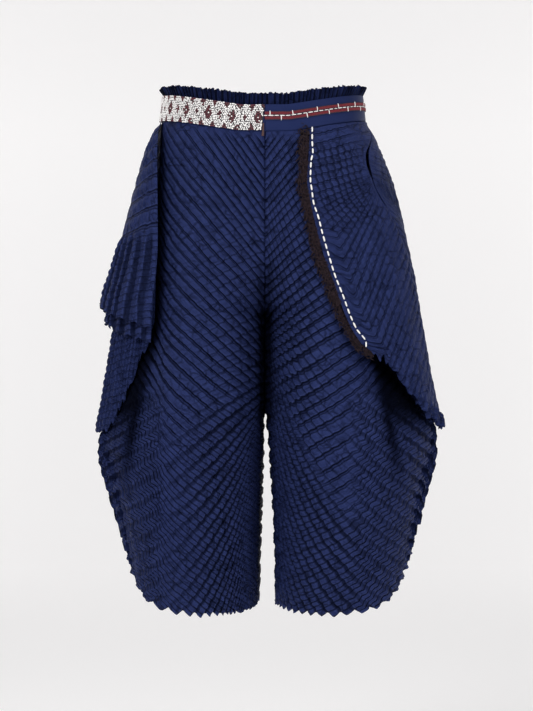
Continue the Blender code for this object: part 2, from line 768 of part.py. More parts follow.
def build_tier(name, drape, tier, material):
    """One tier of the hip drape: folds run down it and deepen from the waist to its hem."""
    ends = tier.reach * DRAPE_WIDTH
    hem = [(p.share * DRAPE_WIDTH, p.height) for p in reversed(tier.hem)]
    bm = flat_panel([[(-ends, tier.top), (ends, tier.top), *hem]])
    for step in range(-2 * tier.pleats, 2 * tier.pleats + 1):
        cut(bm, (1, 0), step * DRAPE_WIDTH / (2 * tier.pleats))
    for level in tier.levels:
        cut(bm, (0, 1), level)
    tidy(bm)
    edge_points = {v for e in bm.edges if e.is_boundary for v in e.verts}
    for v in bm.verts:
        share, height = v.co.x / DRAPE_WIDTH, v.co.y
        wave = zigzag(share * tier.pleats)
        deepening = fade_in(-BAND_HALF - height, DRAPE_DEEPENING)
        calm = fade_in(ends - abs(v.co.x), DRAPE_CALM)
        if v in edge_points and height < tier.levels[0]:
            height -= TOOTH * wave * calm
        middle = drape.point(share, height)
        turn = share * drape.edge_turn(height)
        facing = Vector((-math.cos(turn), -math.sin(turn), 0))
        normal = surface_normal(drape.point, share, height, facing)
        v.co = middle + normal * tier.rise * wave * calm * deepening
    return make_object(name, bm, material)


def build_right_drape(navy):
    """Three tiers over the wearer's right hip, each hung under the one above."""
    build_tier("right_drape_upper", HipDrape(RIGHT_DRAPE), UPPER_TIER, navy)
    build_tier("right_drape_middle", HipDrape(RIGHT_DRAPE, MIDDLE_INSET), MIDDLE_TIER, navy)
    build_tier("right_drape_lower", HipDrape(LOWER_DRAPE), LOWER_TIER, navy)


def gape(height):
    """How far the pocket slit is open, as a share: closed at the band and at the gather."""
    share = (height - GATHER_HEIGHT) / (OVERLAY_LEVELS[0] - GATHER_HEIGHT)
    return math.sin(math.pi * share) if 0 < share < 1 else 0.0


def fringed_angle(overlay, height):
    """The overlay's angle at its fringed front edge."""
    middle = smooth(BODY, "middle", height)
    share = (smooth(FRINGED_EDGE, "across", height) - middle) / (overlay.reach(height) - middle)
    return math.degrees(math.asin(min(max(share, 0.0), 1.0)))


def build_overlay_front(navy):
    """The wrapped overlay on the wearer's left, gathered to a point and fanning down to its hem."""
    body = OverlayBody(LEFT, FRONT)
    hem_bottom = OVERLAY_HEM[0].height

    def fringed(height):
        if height < hem_bottom:
            return body.across(hem_angle(OVERLAY_HEM[::-1], height), height)
        return body.across(fringed_angle(body, height), height)

    def split(height):
        seam = body.across(smooth(POCKET_SPLIT, "angle", height), height)
        return seam - SEAM_HALF_GAP - POCKET_GAPE * gape(height)

    top = [(fringed(OVERLAY_TOP), OVERLAY_TOP), (split(OVERLAY_TOP), OVERLAY_TOP)]
    low = [p for p in OVERLAY_HEM[::-1] if p.angle > OVERLAY_CORNER]
    bottom = [(body.across(p.angle, p.height), p.height) for p in low]
    bm = flat_panel(stack(OVERLAY_LEVELS, fringed, split, top, bottom))
    centre = Vector((split(GATHER_HEIGHT), GATHER_HEIGHT))
    for step in range(-6, 12):
        cut(bm, (1, 0), centre.x - step * OVERLAY_COLUMN, lambda c: c.y > OVERLAY_COLUMN_FOOT)
    for step in range(-6, 34):
        angle = math.pi + step * FAN_STEP
        along = Vector((math.cos(angle), math.sin(angle)))
        normal = Vector((-along.y, along.x))
        cut(bm, normal, normal.dot(centre), lambda c, a=along: (c.to_2d() - centre).dot(a) > 0)
    tidy(bm)
    edge_points = {v for e in bm.edges if e.is_boundary for v in e.verts}
    for v in bm.verts:
        across, height = v.co.x, v.co.y
        away = Vector((across, height)) - centre
        phase = (math.atan2(away.y, away.x) % (2 * math.pi) - math.pi) / (2 * FAN_STEP)
        start, end = fringed(height), split(height)
        if v in edge_points and height > OVERLAY_HEM[-1].height + EDGE_REACH:
            if across - start < EDGE_REACH:
                across = start
            elif end - across < EDGE_REACH:
                across = end
        calm = fade_in(end - across, OVERLAY_CALM) * fade_in(away.length, GATHER_CALM)
        calm *= fade_in(OVERLAY_TOP - height, GATHER_CALM)
        if height > hem_bottom:
            calm *= fade_in(across - start, OVERLAY_CALM)
        turn = math.radians(body.angle(across, height))
        facing = Vector((math.sin(turn), -math.cos(turn), 0))
        normal = surface_normal(body.turned_point, turn, height, facing)
        v.co = body.turned_point(turn, height) + normal * OVERLAY_RISE * zigzag(phase) * calm
    return make_object("left_overlay_front", bm, navy)


def build_overlay_back(navy):
    """The overlay's side and back, from the pocket slit round to the seat."""
    front = OverlayBody(LEFT, FRONT)
    back = OverlayBody(LEFT, BACK)
    columns = 2 * OVERLAY_BACK_PLEATS

    def spot(share, height):
        """A surface point and its angle: past 90 it lies on the back."""
        start = smooth(POCKET_SPLIT, "angle", height)
        start += math.degrees(SPLIT_GAP / (front.reach(height) - 0.03))
        turn = start + share * (180 - OVERLAY_BACK_REACH - start)
        if turn <= 90:
            return front.point(turn, height), turn
        return back.point(180 - turn, height), turn

    shares = [p.share for p in OVERLAY_BACK_HEM]
    hem_heights = [p.height for p in OVERLAY_BACK_HEM]
    bm = bmesh.new()
    rows = []
    levels = (OVERLAY_TOP, *OVERLAY_BACK_LEVELS)
    for k in range(len(levels) + OVERLAY_HEM_ROWS):
        row = []
        for i in range(columns + 1):
            share = i / columns
            hem = float(np.interp(share, shares, hem_heights))
            past = max(k + 1 - len(levels), 0) / OVERLAY_HEM_ROWS
            height = max(levels[min(k, len(levels) - 1)], hem)
            height += (hem - height) * past
            wave = 1 if i % 2 else -1
            calm = fade_in(OVERLAY_TOP - height - 0.03, 0.10) * fade_in(share, 0.10)
            if i in (0, columns):
                calm = 0.0
            elif past == 1:
                height -= TOOTH * wave
            base, turn = spot(share, height)
            facing = Vector((math.sin(math.radians(turn)), -math.cos(math.radians(turn)), 0))
            row.append(bm.verts.new(base + facing * DRAPE_RISE * wave * calm))
        rows.append(row)
    for upper, lower in zip(rows, rows[1:]):
        for i in range(columns):
            bm.faces.new((upper[i], upper[i + 1], lower[i + 1], lower[i]))
    bmesh.ops.triangulate(bm, faces=bm.faces)
    return make_object("left_overlay_back", bm, navy)


def build_fringe(brown):
    """The frayed trim: a narrow strip along the overlay's front edge, with locks towards the fly."""
    overlay = OverlayBody(LEFT, FRONT)
    body = Body(LEFT, FRONT)
    lift = PLEAT_RISE + CLOTH / 2 + FRINGE_THICK / 2 + FRINGE_CLEAR

    def strip_point(height, away):
        """A point just off the body, a distance away from the overlay's edge towards the fly."""
        out = overlay.point(fringed_angle(overlay, height), height).x - away
        middle = smooth(BODY, "middle", height)
        if out > middle:
            turn = math.asin(min((out - middle) / (body.reach(height) - middle), 1.0))
        else:
            inner = middle - smooth(BODY, body.seam_column, height)
            turn = -math.asin(min((middle - out) / inner, 1.0))
        facing = Vector((max(math.sin(turn), 0.0), -math.cos(max(turn, 0.0)), 0))
        return body.turned_point(turn, height) + facing * lift

    bm = bmesh.new()
    count = 2 * FRINGE_LOCKS
    backs, roots = [], []
    for i in range(count + 1):
        height = FRINGE_TOP + (FRINGE_FOOT - FRINGE_TOP) * i / count
        backs.append(bm.verts.new(strip_point(height, FRINGE_GAP)))
        roots.append(bm.verts.new(strip_point(height, FRINGE_GAP + FRINGE_STRIP)))
    for i in range(count):
        bm.faces.new((backs[i], backs[i + 1], roots[i + 1], roots[i]))
    for k in range(FRINGE_LOCKS):
        i = 2 * k
        along = (i + 0.5) / count
        height = FRINGE_TOP + (FRINGE_FOOT - FRINGE_TOP) * along
        length = LOCK_TOP_LENGTH + (LOCK_FOOT_LENGTH - LOCK_TOP_LENGTH) * along
        length += LOCK_UNEVEN * (math.sin(k * 2.2) + 0.4 * math.sin(k * 5.3))
        droop = LOCK_DROOP * (1 + 0.5 * math.sin(k * 1.7))
        tip_away = FRINGE_GAP + FRINGE_STRIP + length
        tips = [
            bm.verts.new(strip_point(height - droop + half * LOCK_TIP / 2, tip_away)) for half in (1, -1)
        ]
        bm.faces.new((roots[i], roots[i + 1], tips[1], tips[0]))
    make_object("fringe_trim", bm, brown, FRINGE_THICK)


def main():
    navy = make_material("navy_pleats", NAVY, ROUGH_CLOTH)
    band = make_material("navy_band", BAND_NAVY, 0.55)
    white = make_material("white_beads", BEAD_WHITE, 0.25)
    red = make_material("red_braid", BRAID_RED, 0.6)
    brown = make_material("brown_fringe", FRINGE_BROWN, 0.9)
    tab = make_material("brown_tab", TAB_BROWN, 0.7)
    build_petal("front_right", RIGHT, FRONT, navy)
    build_petal("front_left", LEFT, FRONT, navy)
    build_petal("back_right", RIGHT, BACK, navy)
    build_petal("back_left", LEFT, BACK, navy)
    build_waistband(band)
    build_heading(navy)
    build_bead_panel(white)
    build_stripe_braid(red)
    build_closure_tab(tab)
    build_right_drape(navy)
    build_overlay_front(navy)
    build_overlay_back(navy)
    build_fringe(brown)


for old in list(bpy.data.objects):
    bpy.data.objects.remove(old)
model = bpy.data.collections.new("pleated_trousers")
bpy.context.scene.collection.children.link(model)
main()
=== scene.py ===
# %% [markdown]
# # Cross-pleated trousers
# The cloth of these wide cropped trousers was steamed into pleats twice, once along each diagonal, so
# every panel is covered by two crossing families of folds. A waistband holds them, with a gathered
# heading above it. The wearer's right hip carries a tiered drape, the left hip a wrapped overlay with
# a curly fringe. This notebook dresses a plain CAD model of the garment with fine cloth, folds,
# beads, stitches and materials. We load the CAD model first, because every piece sits on its solids.

import json
import math
from functools import partial

import bmesh
import bpy
import numpy as np
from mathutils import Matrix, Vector

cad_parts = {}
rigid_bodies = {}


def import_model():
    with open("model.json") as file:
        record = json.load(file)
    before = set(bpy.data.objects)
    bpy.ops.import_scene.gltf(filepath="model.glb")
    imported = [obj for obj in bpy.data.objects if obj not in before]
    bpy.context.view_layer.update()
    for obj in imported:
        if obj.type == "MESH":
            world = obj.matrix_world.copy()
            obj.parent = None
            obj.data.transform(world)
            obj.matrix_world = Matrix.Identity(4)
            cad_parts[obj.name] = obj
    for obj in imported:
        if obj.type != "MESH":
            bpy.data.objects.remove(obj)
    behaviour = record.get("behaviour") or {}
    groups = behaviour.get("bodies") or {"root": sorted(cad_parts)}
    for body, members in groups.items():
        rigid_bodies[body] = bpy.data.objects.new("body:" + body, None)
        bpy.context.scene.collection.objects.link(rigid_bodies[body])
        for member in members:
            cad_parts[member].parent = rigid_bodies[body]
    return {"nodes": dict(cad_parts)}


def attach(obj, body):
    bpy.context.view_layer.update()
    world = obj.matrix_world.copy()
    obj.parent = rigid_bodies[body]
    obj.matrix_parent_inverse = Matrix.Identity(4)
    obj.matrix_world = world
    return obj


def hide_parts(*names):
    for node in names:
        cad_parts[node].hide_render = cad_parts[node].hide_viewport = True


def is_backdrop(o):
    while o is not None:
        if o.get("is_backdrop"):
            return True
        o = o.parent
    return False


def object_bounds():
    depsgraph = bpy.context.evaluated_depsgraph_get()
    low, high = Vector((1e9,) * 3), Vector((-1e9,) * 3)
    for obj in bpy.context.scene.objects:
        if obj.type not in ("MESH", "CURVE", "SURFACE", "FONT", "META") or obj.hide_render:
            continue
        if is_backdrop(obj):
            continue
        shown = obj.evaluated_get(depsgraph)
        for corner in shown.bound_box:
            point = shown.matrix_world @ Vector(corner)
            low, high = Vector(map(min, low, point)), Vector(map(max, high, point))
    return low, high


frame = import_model()
cad_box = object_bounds()
print("nodes to dress:", len(frame["nodes"]))

# %% [markdown]
# ## Curves through a few measured heights
# A garment is drawn from a few levels: waist, hip, crotch, knee, hem. A smooth curve runs through the
# values at those levels. The slope at each level is the harmonic mean of its neighbours' slopes, which
# never overshoots, so a narrow waist can't bulge between two rows. All of it works on whole arrays,
# because a fine cloth has tens of thousands of points.

# %% Smooth curves and fades
RIGHT, LEFT = -1, 1
FRONT, BACK = -1, 1


def curve(heights, values):
    """A smooth curve through values given at several heights."""
    order = np.argsort(heights)
    h, v = np.array(heights, float)[order], np.array(values, float)[order]
    step = np.diff(v) / np.diff(h)
    slope = np.zeros(len(h))
    same = step[:-1] * step[1:] > 0
    both = np.where(same, step[:-1] + step[1:], 1.0)
    slope[1:-1] = np.where(same, 2 * step[:-1] * step[1:] / both, 0.0)

    def at(height):
        height = np.clip(height, h[0], h[-1])
        i = np.clip(np.searchsorted(h, height) - 1, 0, len(h) - 2)
        gap = h[i + 1] - h[i]
        t = (height - h[i]) / gap
        start = v[i] * (1 + 2 * t) + slope[i] * gap * t
        end = v[i + 1] * (3 - 2 * t) + slope[i + 1] * gap * (t - 1)
        return start * (1 - t) ** 2 + end * t * t

    return at


def curves(columns, rows):
    """One curve for each named column of a table whose first column is the height."""
    table = np.array(rows, float)
    return {name: curve(table[:, 0], table[:, k + 1]) for k, name in enumerate(columns.split())}


def fade(value, width):
    """0 at nothing, 1 past the width, and smooth between."""
    share = np.clip(value / width, 0, 1)
    return share * share * (3 - 2 * share)


def bell(value, width):
    """1 at nothing, falling off on both sides over about the width."""
    return np.exp(-((value / width) ** 2))


def nearing(value, reach):
    """0 at nothing, and closer and closer to 1 past the reach."""
    return 1 - np.exp(-value / reach)


def straight(table, at, **options):
    """Straight lines through the pairs of a table."""
    places, values = zip(*table)
    return np.interp(at, places, values, **options)


def softly_past(n):
    """Nearly 0 below 0 and nearly n above it, with a soft bend."""
    return 0.5 * (n + np.sqrt(n * n + 4))


def zigzag(phase):
    """-1 at each whole number and 1 halfway between."""
    return 4 * np.abs(phase - np.floor(phase + 0.5)) - 1


# %% [markdown]
# ## The body under the cloth
# The trousers are shown filled out, as on a wearer, so each leg is a wide tube that narrows to the
# waist. One quarter of the garment is a surface with two coordinates: an angle, 90 at the side seam,
# 0 in front and -90 at the inseam, and a height. These are the same tables that the CAD solids were
# made from, so the fine cloth follows them. Only the waistline's dip in front is a little straighter.

# %% Body tables
BODY = curves(
    "side_right side_left front back inseam_right inseam_left middle",
    (
        (0.060, 0.1390, 0.1350, 0.096, 0.096, 0.0012, 0.0012, 0.028),
        (0.018, 0.1405, 0.1365, 0.098, 0.098, 0.0012, 0.0012, 0.030),
        (-0.018, 0.1445, 0.1400, 0.102, 0.104, 0.0012, 0.0012, 0.034),
        (-0.080, 0.1470, 0.1440, 0.108, 0.118, 0.0012, 0.0012, 0.050),
        (-0.150, 0.1500, 0.1470, 0.114, 0.130, 0.0012, 0.0012, 0.064),
        (-0.220, 0.1515, 0.1480, 0.118, 0.134, 0.0013, 0.0013, 0.074),
        (-0.285, 0.1540, 0.1490, 0.122, 0.130, 0.0016, 0.0016, 0.080),
        (-0.340, 0.1790, 0.1600, 0.126, 0.128, 0.0016, 0.0016, 0.084),
        (-0.367, 0.1910, 0.1780, 0.128, 0.129, 0.0016, 0.0016, 0.087),
        (-0.395, 0.2030, 0.2000, 0.131, 0.131, 0.0016, 0.0016, 0.091),
        (-0.420, 0.2135, 0.2200, 0.134, 0.134, 0.0016, 0.0018, 0.096),
        (-0.445, 0.2225, 0.2345, 0.138, 0.138, 0.0018, 0.0040, 0.102),
        (-0.470, 0.2270, 0.2345, 0.141, 0.141, 0.0022, 0.0066, 0.108),
        (-0.510, 0.2170, 0.2240, 0.142, 0.142, 0.0036, 0.0090, 0.108),
        (-0.570, 0.2020, 0.2110, 0.139, 0.139, 0.0060, 0.0125, 0.104),
        (-0.630, 0.1890, 0.2000, 0.131, 0.131, 0.0080, 0.0150, 0.098),
        (-0.680, 0.1800, 0.1900, 0.120, 0.120, 0.0092, 0.0156, 0.093),
        (-0.715, 0.1740, 0.1830, 0.112, 0.112, 0.0096, 0.0156, 0.090),
    ),
)
CREASE = curves(
    "across deep",
    (
        (-0.250, 0.152, 0.000),
        (-0.330, 0.150, 0.014),
        (-0.390, 0.155, 0.013),
        (-0.430, 0.163, 0.009),
        (-0.480, 0.171, 0.004),
        (-0.530, 0.177, 0.000),
    ),
)
CREASE_WIDTH = 0.014
SEAM = ((-0.285, 0.0), (-0.274, 0.48), (-0.255, 0.78), (-0.230, 0.94), (-0.200, 0.985))
CROTCH, TIP = -0.285, -0.465
BAND_HALF = 0.018
WAIST = -0.0188
SEAM_HALF_GAP = 0.0006
FRONT_DIP, DIP_FADE = 0.0208, -0.15
LEAN, LEAN_HALF_WAVE = 0.0015, 0.04


def dip(angle, height):
    """How far the waistline drops in front, fading out below the hips."""
    turn = 1 - np.sin(np.radians(np.clip(angle, 0, 90))) ** 1.15
    return -FRONT_DIP * turn * fade(height - DIP_FADE, -BAND_HALF - DIP_FADE)


def body(side, half, angle, height, reach=None, more_depth=0.0):
    """Points of one quarter of the trousers, at arrays of angles and heights."""
    angle, height = np.broadcast_arrays(angle, height)
    name = "right" if side == RIGHT else "left"
    middle = BODY["middle"](height)
    depth = BODY["front" if half == FRONT else "back"](height) + more_depth
    turn = np.radians(angle)
    wide = BODY["side_" + name](height) if reach is None else reach
    outer = middle + (wide - middle) * np.sin(turn)
    pulled = depth
    if half == FRONT and reach is None:
        crease = bell(outer - CREASE["across"](height), CREASE_WIDTH)
        pulled = depth - CREASE["deep"](height) * crease
    kept = straight(SEAM, height) * depth
    inner = middle + (middle - BODY["inseam_" + name](height)) * np.sin(turn)
    out = np.where(angle > 0, outer, inner)
    away = np.where(angle > 0, pulled * np.cos(turn), kept + (depth - kept) * np.cos(turn))
    near = np.maximum(0, 1 - out / LEAN_HALF_WAVE) * np.clip((CROTCH - height) / 0.03, 0, 1)
    wave = LEAN * np.sin(math.pi * half * away / LEAN_HALF_WAVE) * near
    lean = np.where(away < 2 * LEAN_HALF_WAVE, wave, 0)
    drop = dip(angle, height) if half == FRONT else 0.0
    return np.stack([side * out + lean, half * (away + SEAM_HALF_GAP), height + drop], axis=-1)


# %% [markdown]
# ## From a grid of points to a thin shell of cloth
# Real cloth is half a millimetre thick. A modelled sheet needs some thickness too, so that its hem has
# an edge and its inside can be seen. The outer face carries all the folds. The inner face is hidden
# and smooth, so it gets a quarter of the points, and the two are joined round the rim. That leaves
# more points for the folds than Blender's Solidify, which copies the outer face as it is.

# %% A shell from a grid
SHARP = math.radians(75)


def unit(vectors):
    return vectors / np.maximum(np.linalg.norm(vectors, axis=-1, keepdims=True), 1e-12)


def normals_of(grid, ring=False):
    """Unit normals of a grid of points, from the directions along its rows and columns."""
    if ring:
        along = (np.roll(grid, -1, axis=1) - np.roll(grid, 1, axis=1)) / 2
    else:
        along = np.gradient(grid, axis=1)
    return unit(np.cross(np.gradient(grid, axis=0), along))


def quads(ids, ring):
    """Corner indices of every cell of a grid of vertex numbers."""
    right = np.roll(ids, -1, axis=1) if ring else ids[:, 1:]
    left = ids if ring else ids[:, :-1]
    return np.stack([left[:-1], left[1:], right[1:], right[:-1]], axis=-1).reshape(-1, 4)


def rim(outer, inner, rising):
    """Triangles between a fine edge of the outer face and a coarse edge of the inner one."""
    a, b, c = outer[:-1:2], outer[1::2], outer[2::2]
    p, q = inner[:-1], inner[1:]
    if rising:
        corners = (a, b, p), (b, c, q), (b, q, p)
    else:
        corners = (b, a, p), (c, b, q), (b, p, q)
    return np.concatenate([np.stack(three, -1) for three in corners])


def link(piece):
    bpy.context.scene.collection.objects.link(piece)
    return piece


def lowest_near(rise, ring):
    """The lowest value beside each point, so that a coarse back never shows through a fold."""
    rows, columns = rise.shape
    wide = np.pad(rise, ((0, 0), (1, 1)), mode="wrap" if ring else "edge")
    wide = np.pad(wide, ((1, 1), (0, 0)), mode="edge")
    return np.min([wide[i : i + rows, j : j + columns] for i in range(3) for j in range(3)], axis=0)


def shell(name, base, rise, thickness, maps, finish, middle=0.0, ring=False, keep_inside=None):
    """A closed thin piece: base moved out by rise for its face, and a back that lies under it."""
    lining = thickness - lowest_near(rise, ring)
    normal = normals_of(base, ring)
    outward = base.copy()
    outward[..., 0] -= middle
    outward[..., 2] = 0
    if (normal * outward).sum() < 0:
        base, rise, lining = base[:, ::-1], rise[:, ::-1], lining[:, ::-1]
        maps = {key: value[:, ::-1] for key, value in maps.items()}
        normal = -normal[:, ::-1]
    face = base + normal * rise[..., None]
    back = (base - normal * lining[..., None])[::2, ::2]
    if keep_inside:
        face, back = keep_inside(face), keep_inside(back)
    ids = np.arange(face[..., 0].size).reshape(face.shape[:2])
    under = ids.size + np.arange(back[..., 0].size).reshape(back.shape[:2])
    outer_faces, inner_faces = quads(ids, ring), quads(under, ring)[:, ::-1]
    if ring:
        wrap = lambda row: np.append(row, row[0])
        strips = [rim(wrap(ids[0]), wrap(under[0]), True), rim(wrap(ids[-1]), wrap(under[-1]), False)]
    else:
        strips = [
            rim(ids[0], under[0], True),
            rim(ids[-1], under[-1], False),
            rim(ids[:, 0], under[:, 0], False),
            rim(ids[:, -1], under[:, -1], True),
        ]
    faces = outer_faces.tolist() + inner_faces.tolist() + np.concatenate(strips).tolist()
    points = np.concatenate([face.reshape(-1, 3), back.reshape(-1, 3)])
    mesh = bpy.data.meshes.new(name)
    mesh.from_pydata(points.tolist(), [], faces)
    corners = np.empty(len(mesh.loops), int)
    mesh.loops.foreach_get("vertex_index", corners)
    for key, value in maps.items():
        flat = np.concatenate([value.reshape(-1, 2), value[::2, ::2].reshape(-1, 2)])
        layer = mesh.uv_layers.new(name=key)
        layer.data.foreach_set("uv", flat[corners].astype(np.float32).ravel())
    mesh.shade_smooth()
    mesh.set_sharp_from_angle(angle=SHARP)
    mesh.materials.append(finish)
    piece = link(bpy.data.objects.new(name, mesh))
    triangles = 2 * (len(outer_faces) + len(inner_faces)) + sum(len(s) for s in strips)
    print(f"{name}: {triangles} triangles")
    return piece


def lengths_along(points):
    """How far along a line of points each one lies."""
    return np.concatenate([[0], np.cumsum(np.linalg.norm(np.diff(points, axis=0), axis=1))])


def shares(rows, columns):
    """Shares from 0 to 1 down a grid's rows and across its columns."""
    return np.linspace(0, 1, rows + 1)[:, None], np.linspace(0, 1, columns + 1)[None, :]


def pair(u, v):
    return np.stack(np.broadcast_arrays(u, v), axis=-1)


def pleat_maps(shape, pleats, depths, cloth, fine=(0, 0), extra=(0, 0)):
    """The five maps that pleated cloth reads: two numbers each, at every point of a grid."""
    given = {"pleats": pleats, "depths": depths, "fine": fine, "extra": extra, "cloth": cloth}
    return {key: np.stack([np.broadcast_to(v, shape) for v in two], axis=-1) for key, two in given.items()}


# %% [markdown]
# ## Uneven, as made by hand
# No two steamed pleats are alike. A smooth random field bends the folds a little, opens some and
# narrows others, and puts shallow dents in the flats between them. It comes from a table of random
# numbers with a fixed seed, so the garment is the same on every run.

# %% Random dents and the profile of a fold
LUMPS = 64


def dents(u, v, size, seed):
    """Smooth random values from -1 to 1 over a flat pattern, with lumps of about one size."""
    table = np.random.default_rng(seed).uniform(-1, 1, (LUMPS, LUMPS))
    fu, fv = u / size, v / size
    iu, iv = np.floor(fu).astype(int), np.floor(fv).astype(int)
    tu, tv = fade(fu - iu, 1), fade(fv - iv, 1)
    corner = lambda a, b: table[(iu + a) % LUMPS, (iv + b) % LUMPS]
    low = corner(0, 0) * (1 - tu) + corner(1, 0) * tu
    high = corner(0, 1) * (1 - tu) + corner(1, 1) * tu
    return low * (1 - tv) + high * tv


# Across one pleat: a broad flat top, its edge, a narrow dark groove, and the strip that lies under it
FOLD = (
    (0.00, 0.70), (0.08, 0.92), (0.32, 1.00), (0.60, 0.90), (0.67, -1.0), (0.74, -0.7), (0.85, -0.5),
    (0.90, -0.8),
)  # fmt: skip


def fold_profile(softness):
    """The height of a fold by its phase, blurred by a share of its width."""
    phase = np.linspace(0, 1, 240, endpoint=False)
    raw = straight(FOLD, phase, period=1)
    weight = bell(np.minimum(phase, 1 - phase), softness)
    soft = np.real(np.fft.ifft(np.fft.fft(raw) * np.fft.fft(weight / weight.sum())))
    return lambda at: np.interp(at, phase, soft, period=1)


crisp_fold, soft_fold = fold_profile(0.05), fold_profile(0.10)
print("fold from", round(float(crisp_fold(0.3)), 2), "to", round(float(crisp_fold(0.73)), 2))

# %% [markdown]
# ## Materials as arithmetic
# Blender's shaders are node trees. Wiring dozens of Math nodes by hand is slow and hard to read, so a
# small class wraps a socket and lets us write `1 - mask * 0.3`. Each operation adds its own node.
# Colours go through Mix nodes, because a Math node would turn them grey.

# %% A small language for node trees
class Wire:
    """A number in a node tree. Ordinary arithmetic on it adds Math nodes."""

    def __init__(self, bench, socket):
        self.bench, self.socket = bench, socket

    def _math(self, operation, first, second=None):
        values = {0: first} if second is None else {0: first, 1: second}
        return self.bench.add("ShaderNodeMath", values, operation=operation)[0]

    def fraction(self):
        return self._math("FRACT", self)


def arithmetic(operation, swapped):
    return lambda wire, other: wire._math(operation, *((other, wire) if swapped else (wire, other)))


for short, operation in (("add", "ADD"), ("sub", "SUBTRACT"), ("mul", "MULTIPLY")):
    setattr(Wire, f"__{short}__", arithmetic(operation, False))
    setattr(Wire, f"__r{short}__", arithmetic(operation, True))


class Added:
    """A node just added. Its outputs come out as wires, by number or name."""

    def __init__(self, bench, node):
        self.bench, self.node = bench, node

    def __getitem__(self, key):
        return Wire(self.bench, self.node.outputs[key])


class Bench:
    """Adds nodes to one tree: a type, then the values or wires of its sockets, then its settings."""

    def __init__(self, tree):
        self.tree = tree

    def add(self, kind, inputs=None, **settings):
        node = self.tree.nodes.new(kind)
        for key, value in settings.items():
            setattr(node, key, value)
        for key, value in (inputs or {}).items():
            self.plug(node.inputs[key], value)
        return Added(self, node)

    def plug(self, socket, value):
        if isinstance(value, Wire):
            self.tree.links.new(value.socket, socket)
        else:
            socket.default_value = value


class Finish(Bench):
    """A material whose colour, roughness and relief are worked out by wires."""

    def __init__(self, name, **fixed):
        self.material = bpy.data.materials.new(name)
        self.material.use_nodes = True
        super().__init__(self.material.node_tree)
        self.shader = self.tree.nodes["Principled BSDF"]
        for key, value in fixed.items():
            self.shader.inputs[key.replace("_", " ")].default_value = value

    def map(self, name):
        """The two coordinates of a UV map."""
        split = self.add("ShaderNodeSeparateXYZ", {0: self.add("ShaderNodeUVMap", uv_map=name)["UV"]})
        return split[0], split[1]

    def vector(self, across, down):
        return self.add("ShaderNodeCombineXYZ", {0: across, 1: down})[0]

    def ramp(self, wire, stops):
        """A grey for each value of the wire, from stops of a value and its grey."""
        added = self.add("ShaderNodeValToRGB", {"Fac": wire})
        ramp = added.node.color_ramp
        while len(ramp.elements) < len(stops):
            ramp.elements.new(1.0)
        for element, (place, grey) in zip(ramp.elements, stops):
            element.position = place
            element.color = (grey, grey, grey, 1)
        return added["Color"]

    def noise(self, vector, scale, detail=2.0, roughness=0.5):
        inputs = {"Vector": vector, "Scale": scale, "Detail": detail, "Roughness": roughness}
        return self.add("ShaderNodeTexNoise", inputs)["Fac"]

    def stretched(self, vector, scale):
        return self.add("ShaderNodeMapping", {"Vector": vector, "Scale": scale})["Vector"]

    def place(self):
        return self.add("ShaderNodeTexCoord")["Object"]

    def mix(self, factor, first, second):
        """One colour where the factor is 0, the other where it is 1."""
        return self.add("ShaderNodeMix", {0: factor, 6: first, 7: second}, data_type="RGBA")[2]

    def finish(self, colour, roughness=None, height=None, relief=0.0005, strength=1.0):
        self.plug(self.shader.inputs["Base Color"], colour)
        if roughness is not None:
            self.plug(self.shader.inputs["Roughness"], roughness)
        if height is not None:
            inputs = {"Strength": strength, "Distance": relief, "Height": height}
            self.plug(self.shader.inputs["Normal"], self.add("ShaderNodeBump", inputs)["Normal"])
        return self.material


def speckled(name, cloud, first, second, gloss=None, grain=None, **fixed):
    """A plain material: two colours by a noise, and a finer noise for its gloss or its grain."""
    look = Finish(name, **fixed)
    place = look.place()
    roughness = gloss + look.noise(place, 800.0) * 0.14 if gloss else None
    height = look.noise(place, grain) if grain else None
    return look.finish(look.mix(look.noise(place, *cloud), first, second), roughness, height, relief=0.0002)


# %% [markdown]
# ## The pleated cloth
# A crisp polyester satin, dyed navy. Its colour hardly changes. Each fold is a ridge in the relief,
# with painted shade as a dark line in its groove and a painted highlight as a lighter edge beside it, and
# the flats have fine crinkles that the steam left, with painted shade in the crumpled creases. The folds'
# places come from the piece's own maps: `pleats` counts the folds of both families, `depths` says how
# strong each family is, `fine` says where the first one halves its pitch and how much painted shade
# darkens a hollow, `extra` says where the second is only a thin line and where the first gapes, and
# `cloth` is the flat pattern in metres, for the crinkles and the weave.

# %% Pleated cloth material
NAVY_LIT = (0.0197, 0.0296, 0.1044, 1)
NAVY_MID = (0.0110, 0.0165, 0.0590, 1)
# The next two colours are painted: shade in the fold grooves and crumpled creases, and a highlight on the
# fold edges.
NAVY_GROOVE_SHADE = (0.0008, 0.0011, 0.0045, 1)
NAVY_EDGE_HIGHLIGHT = (0.0384, 0.0540, 0.1620, 1)
# Near black, for the painted shade in the hollows beside the side valley, under the drape and overlay, and at
# the inseam.
HOLLOW_PAINTED_SHADE = (0.0003, 0.0004, 0.0016, 1)
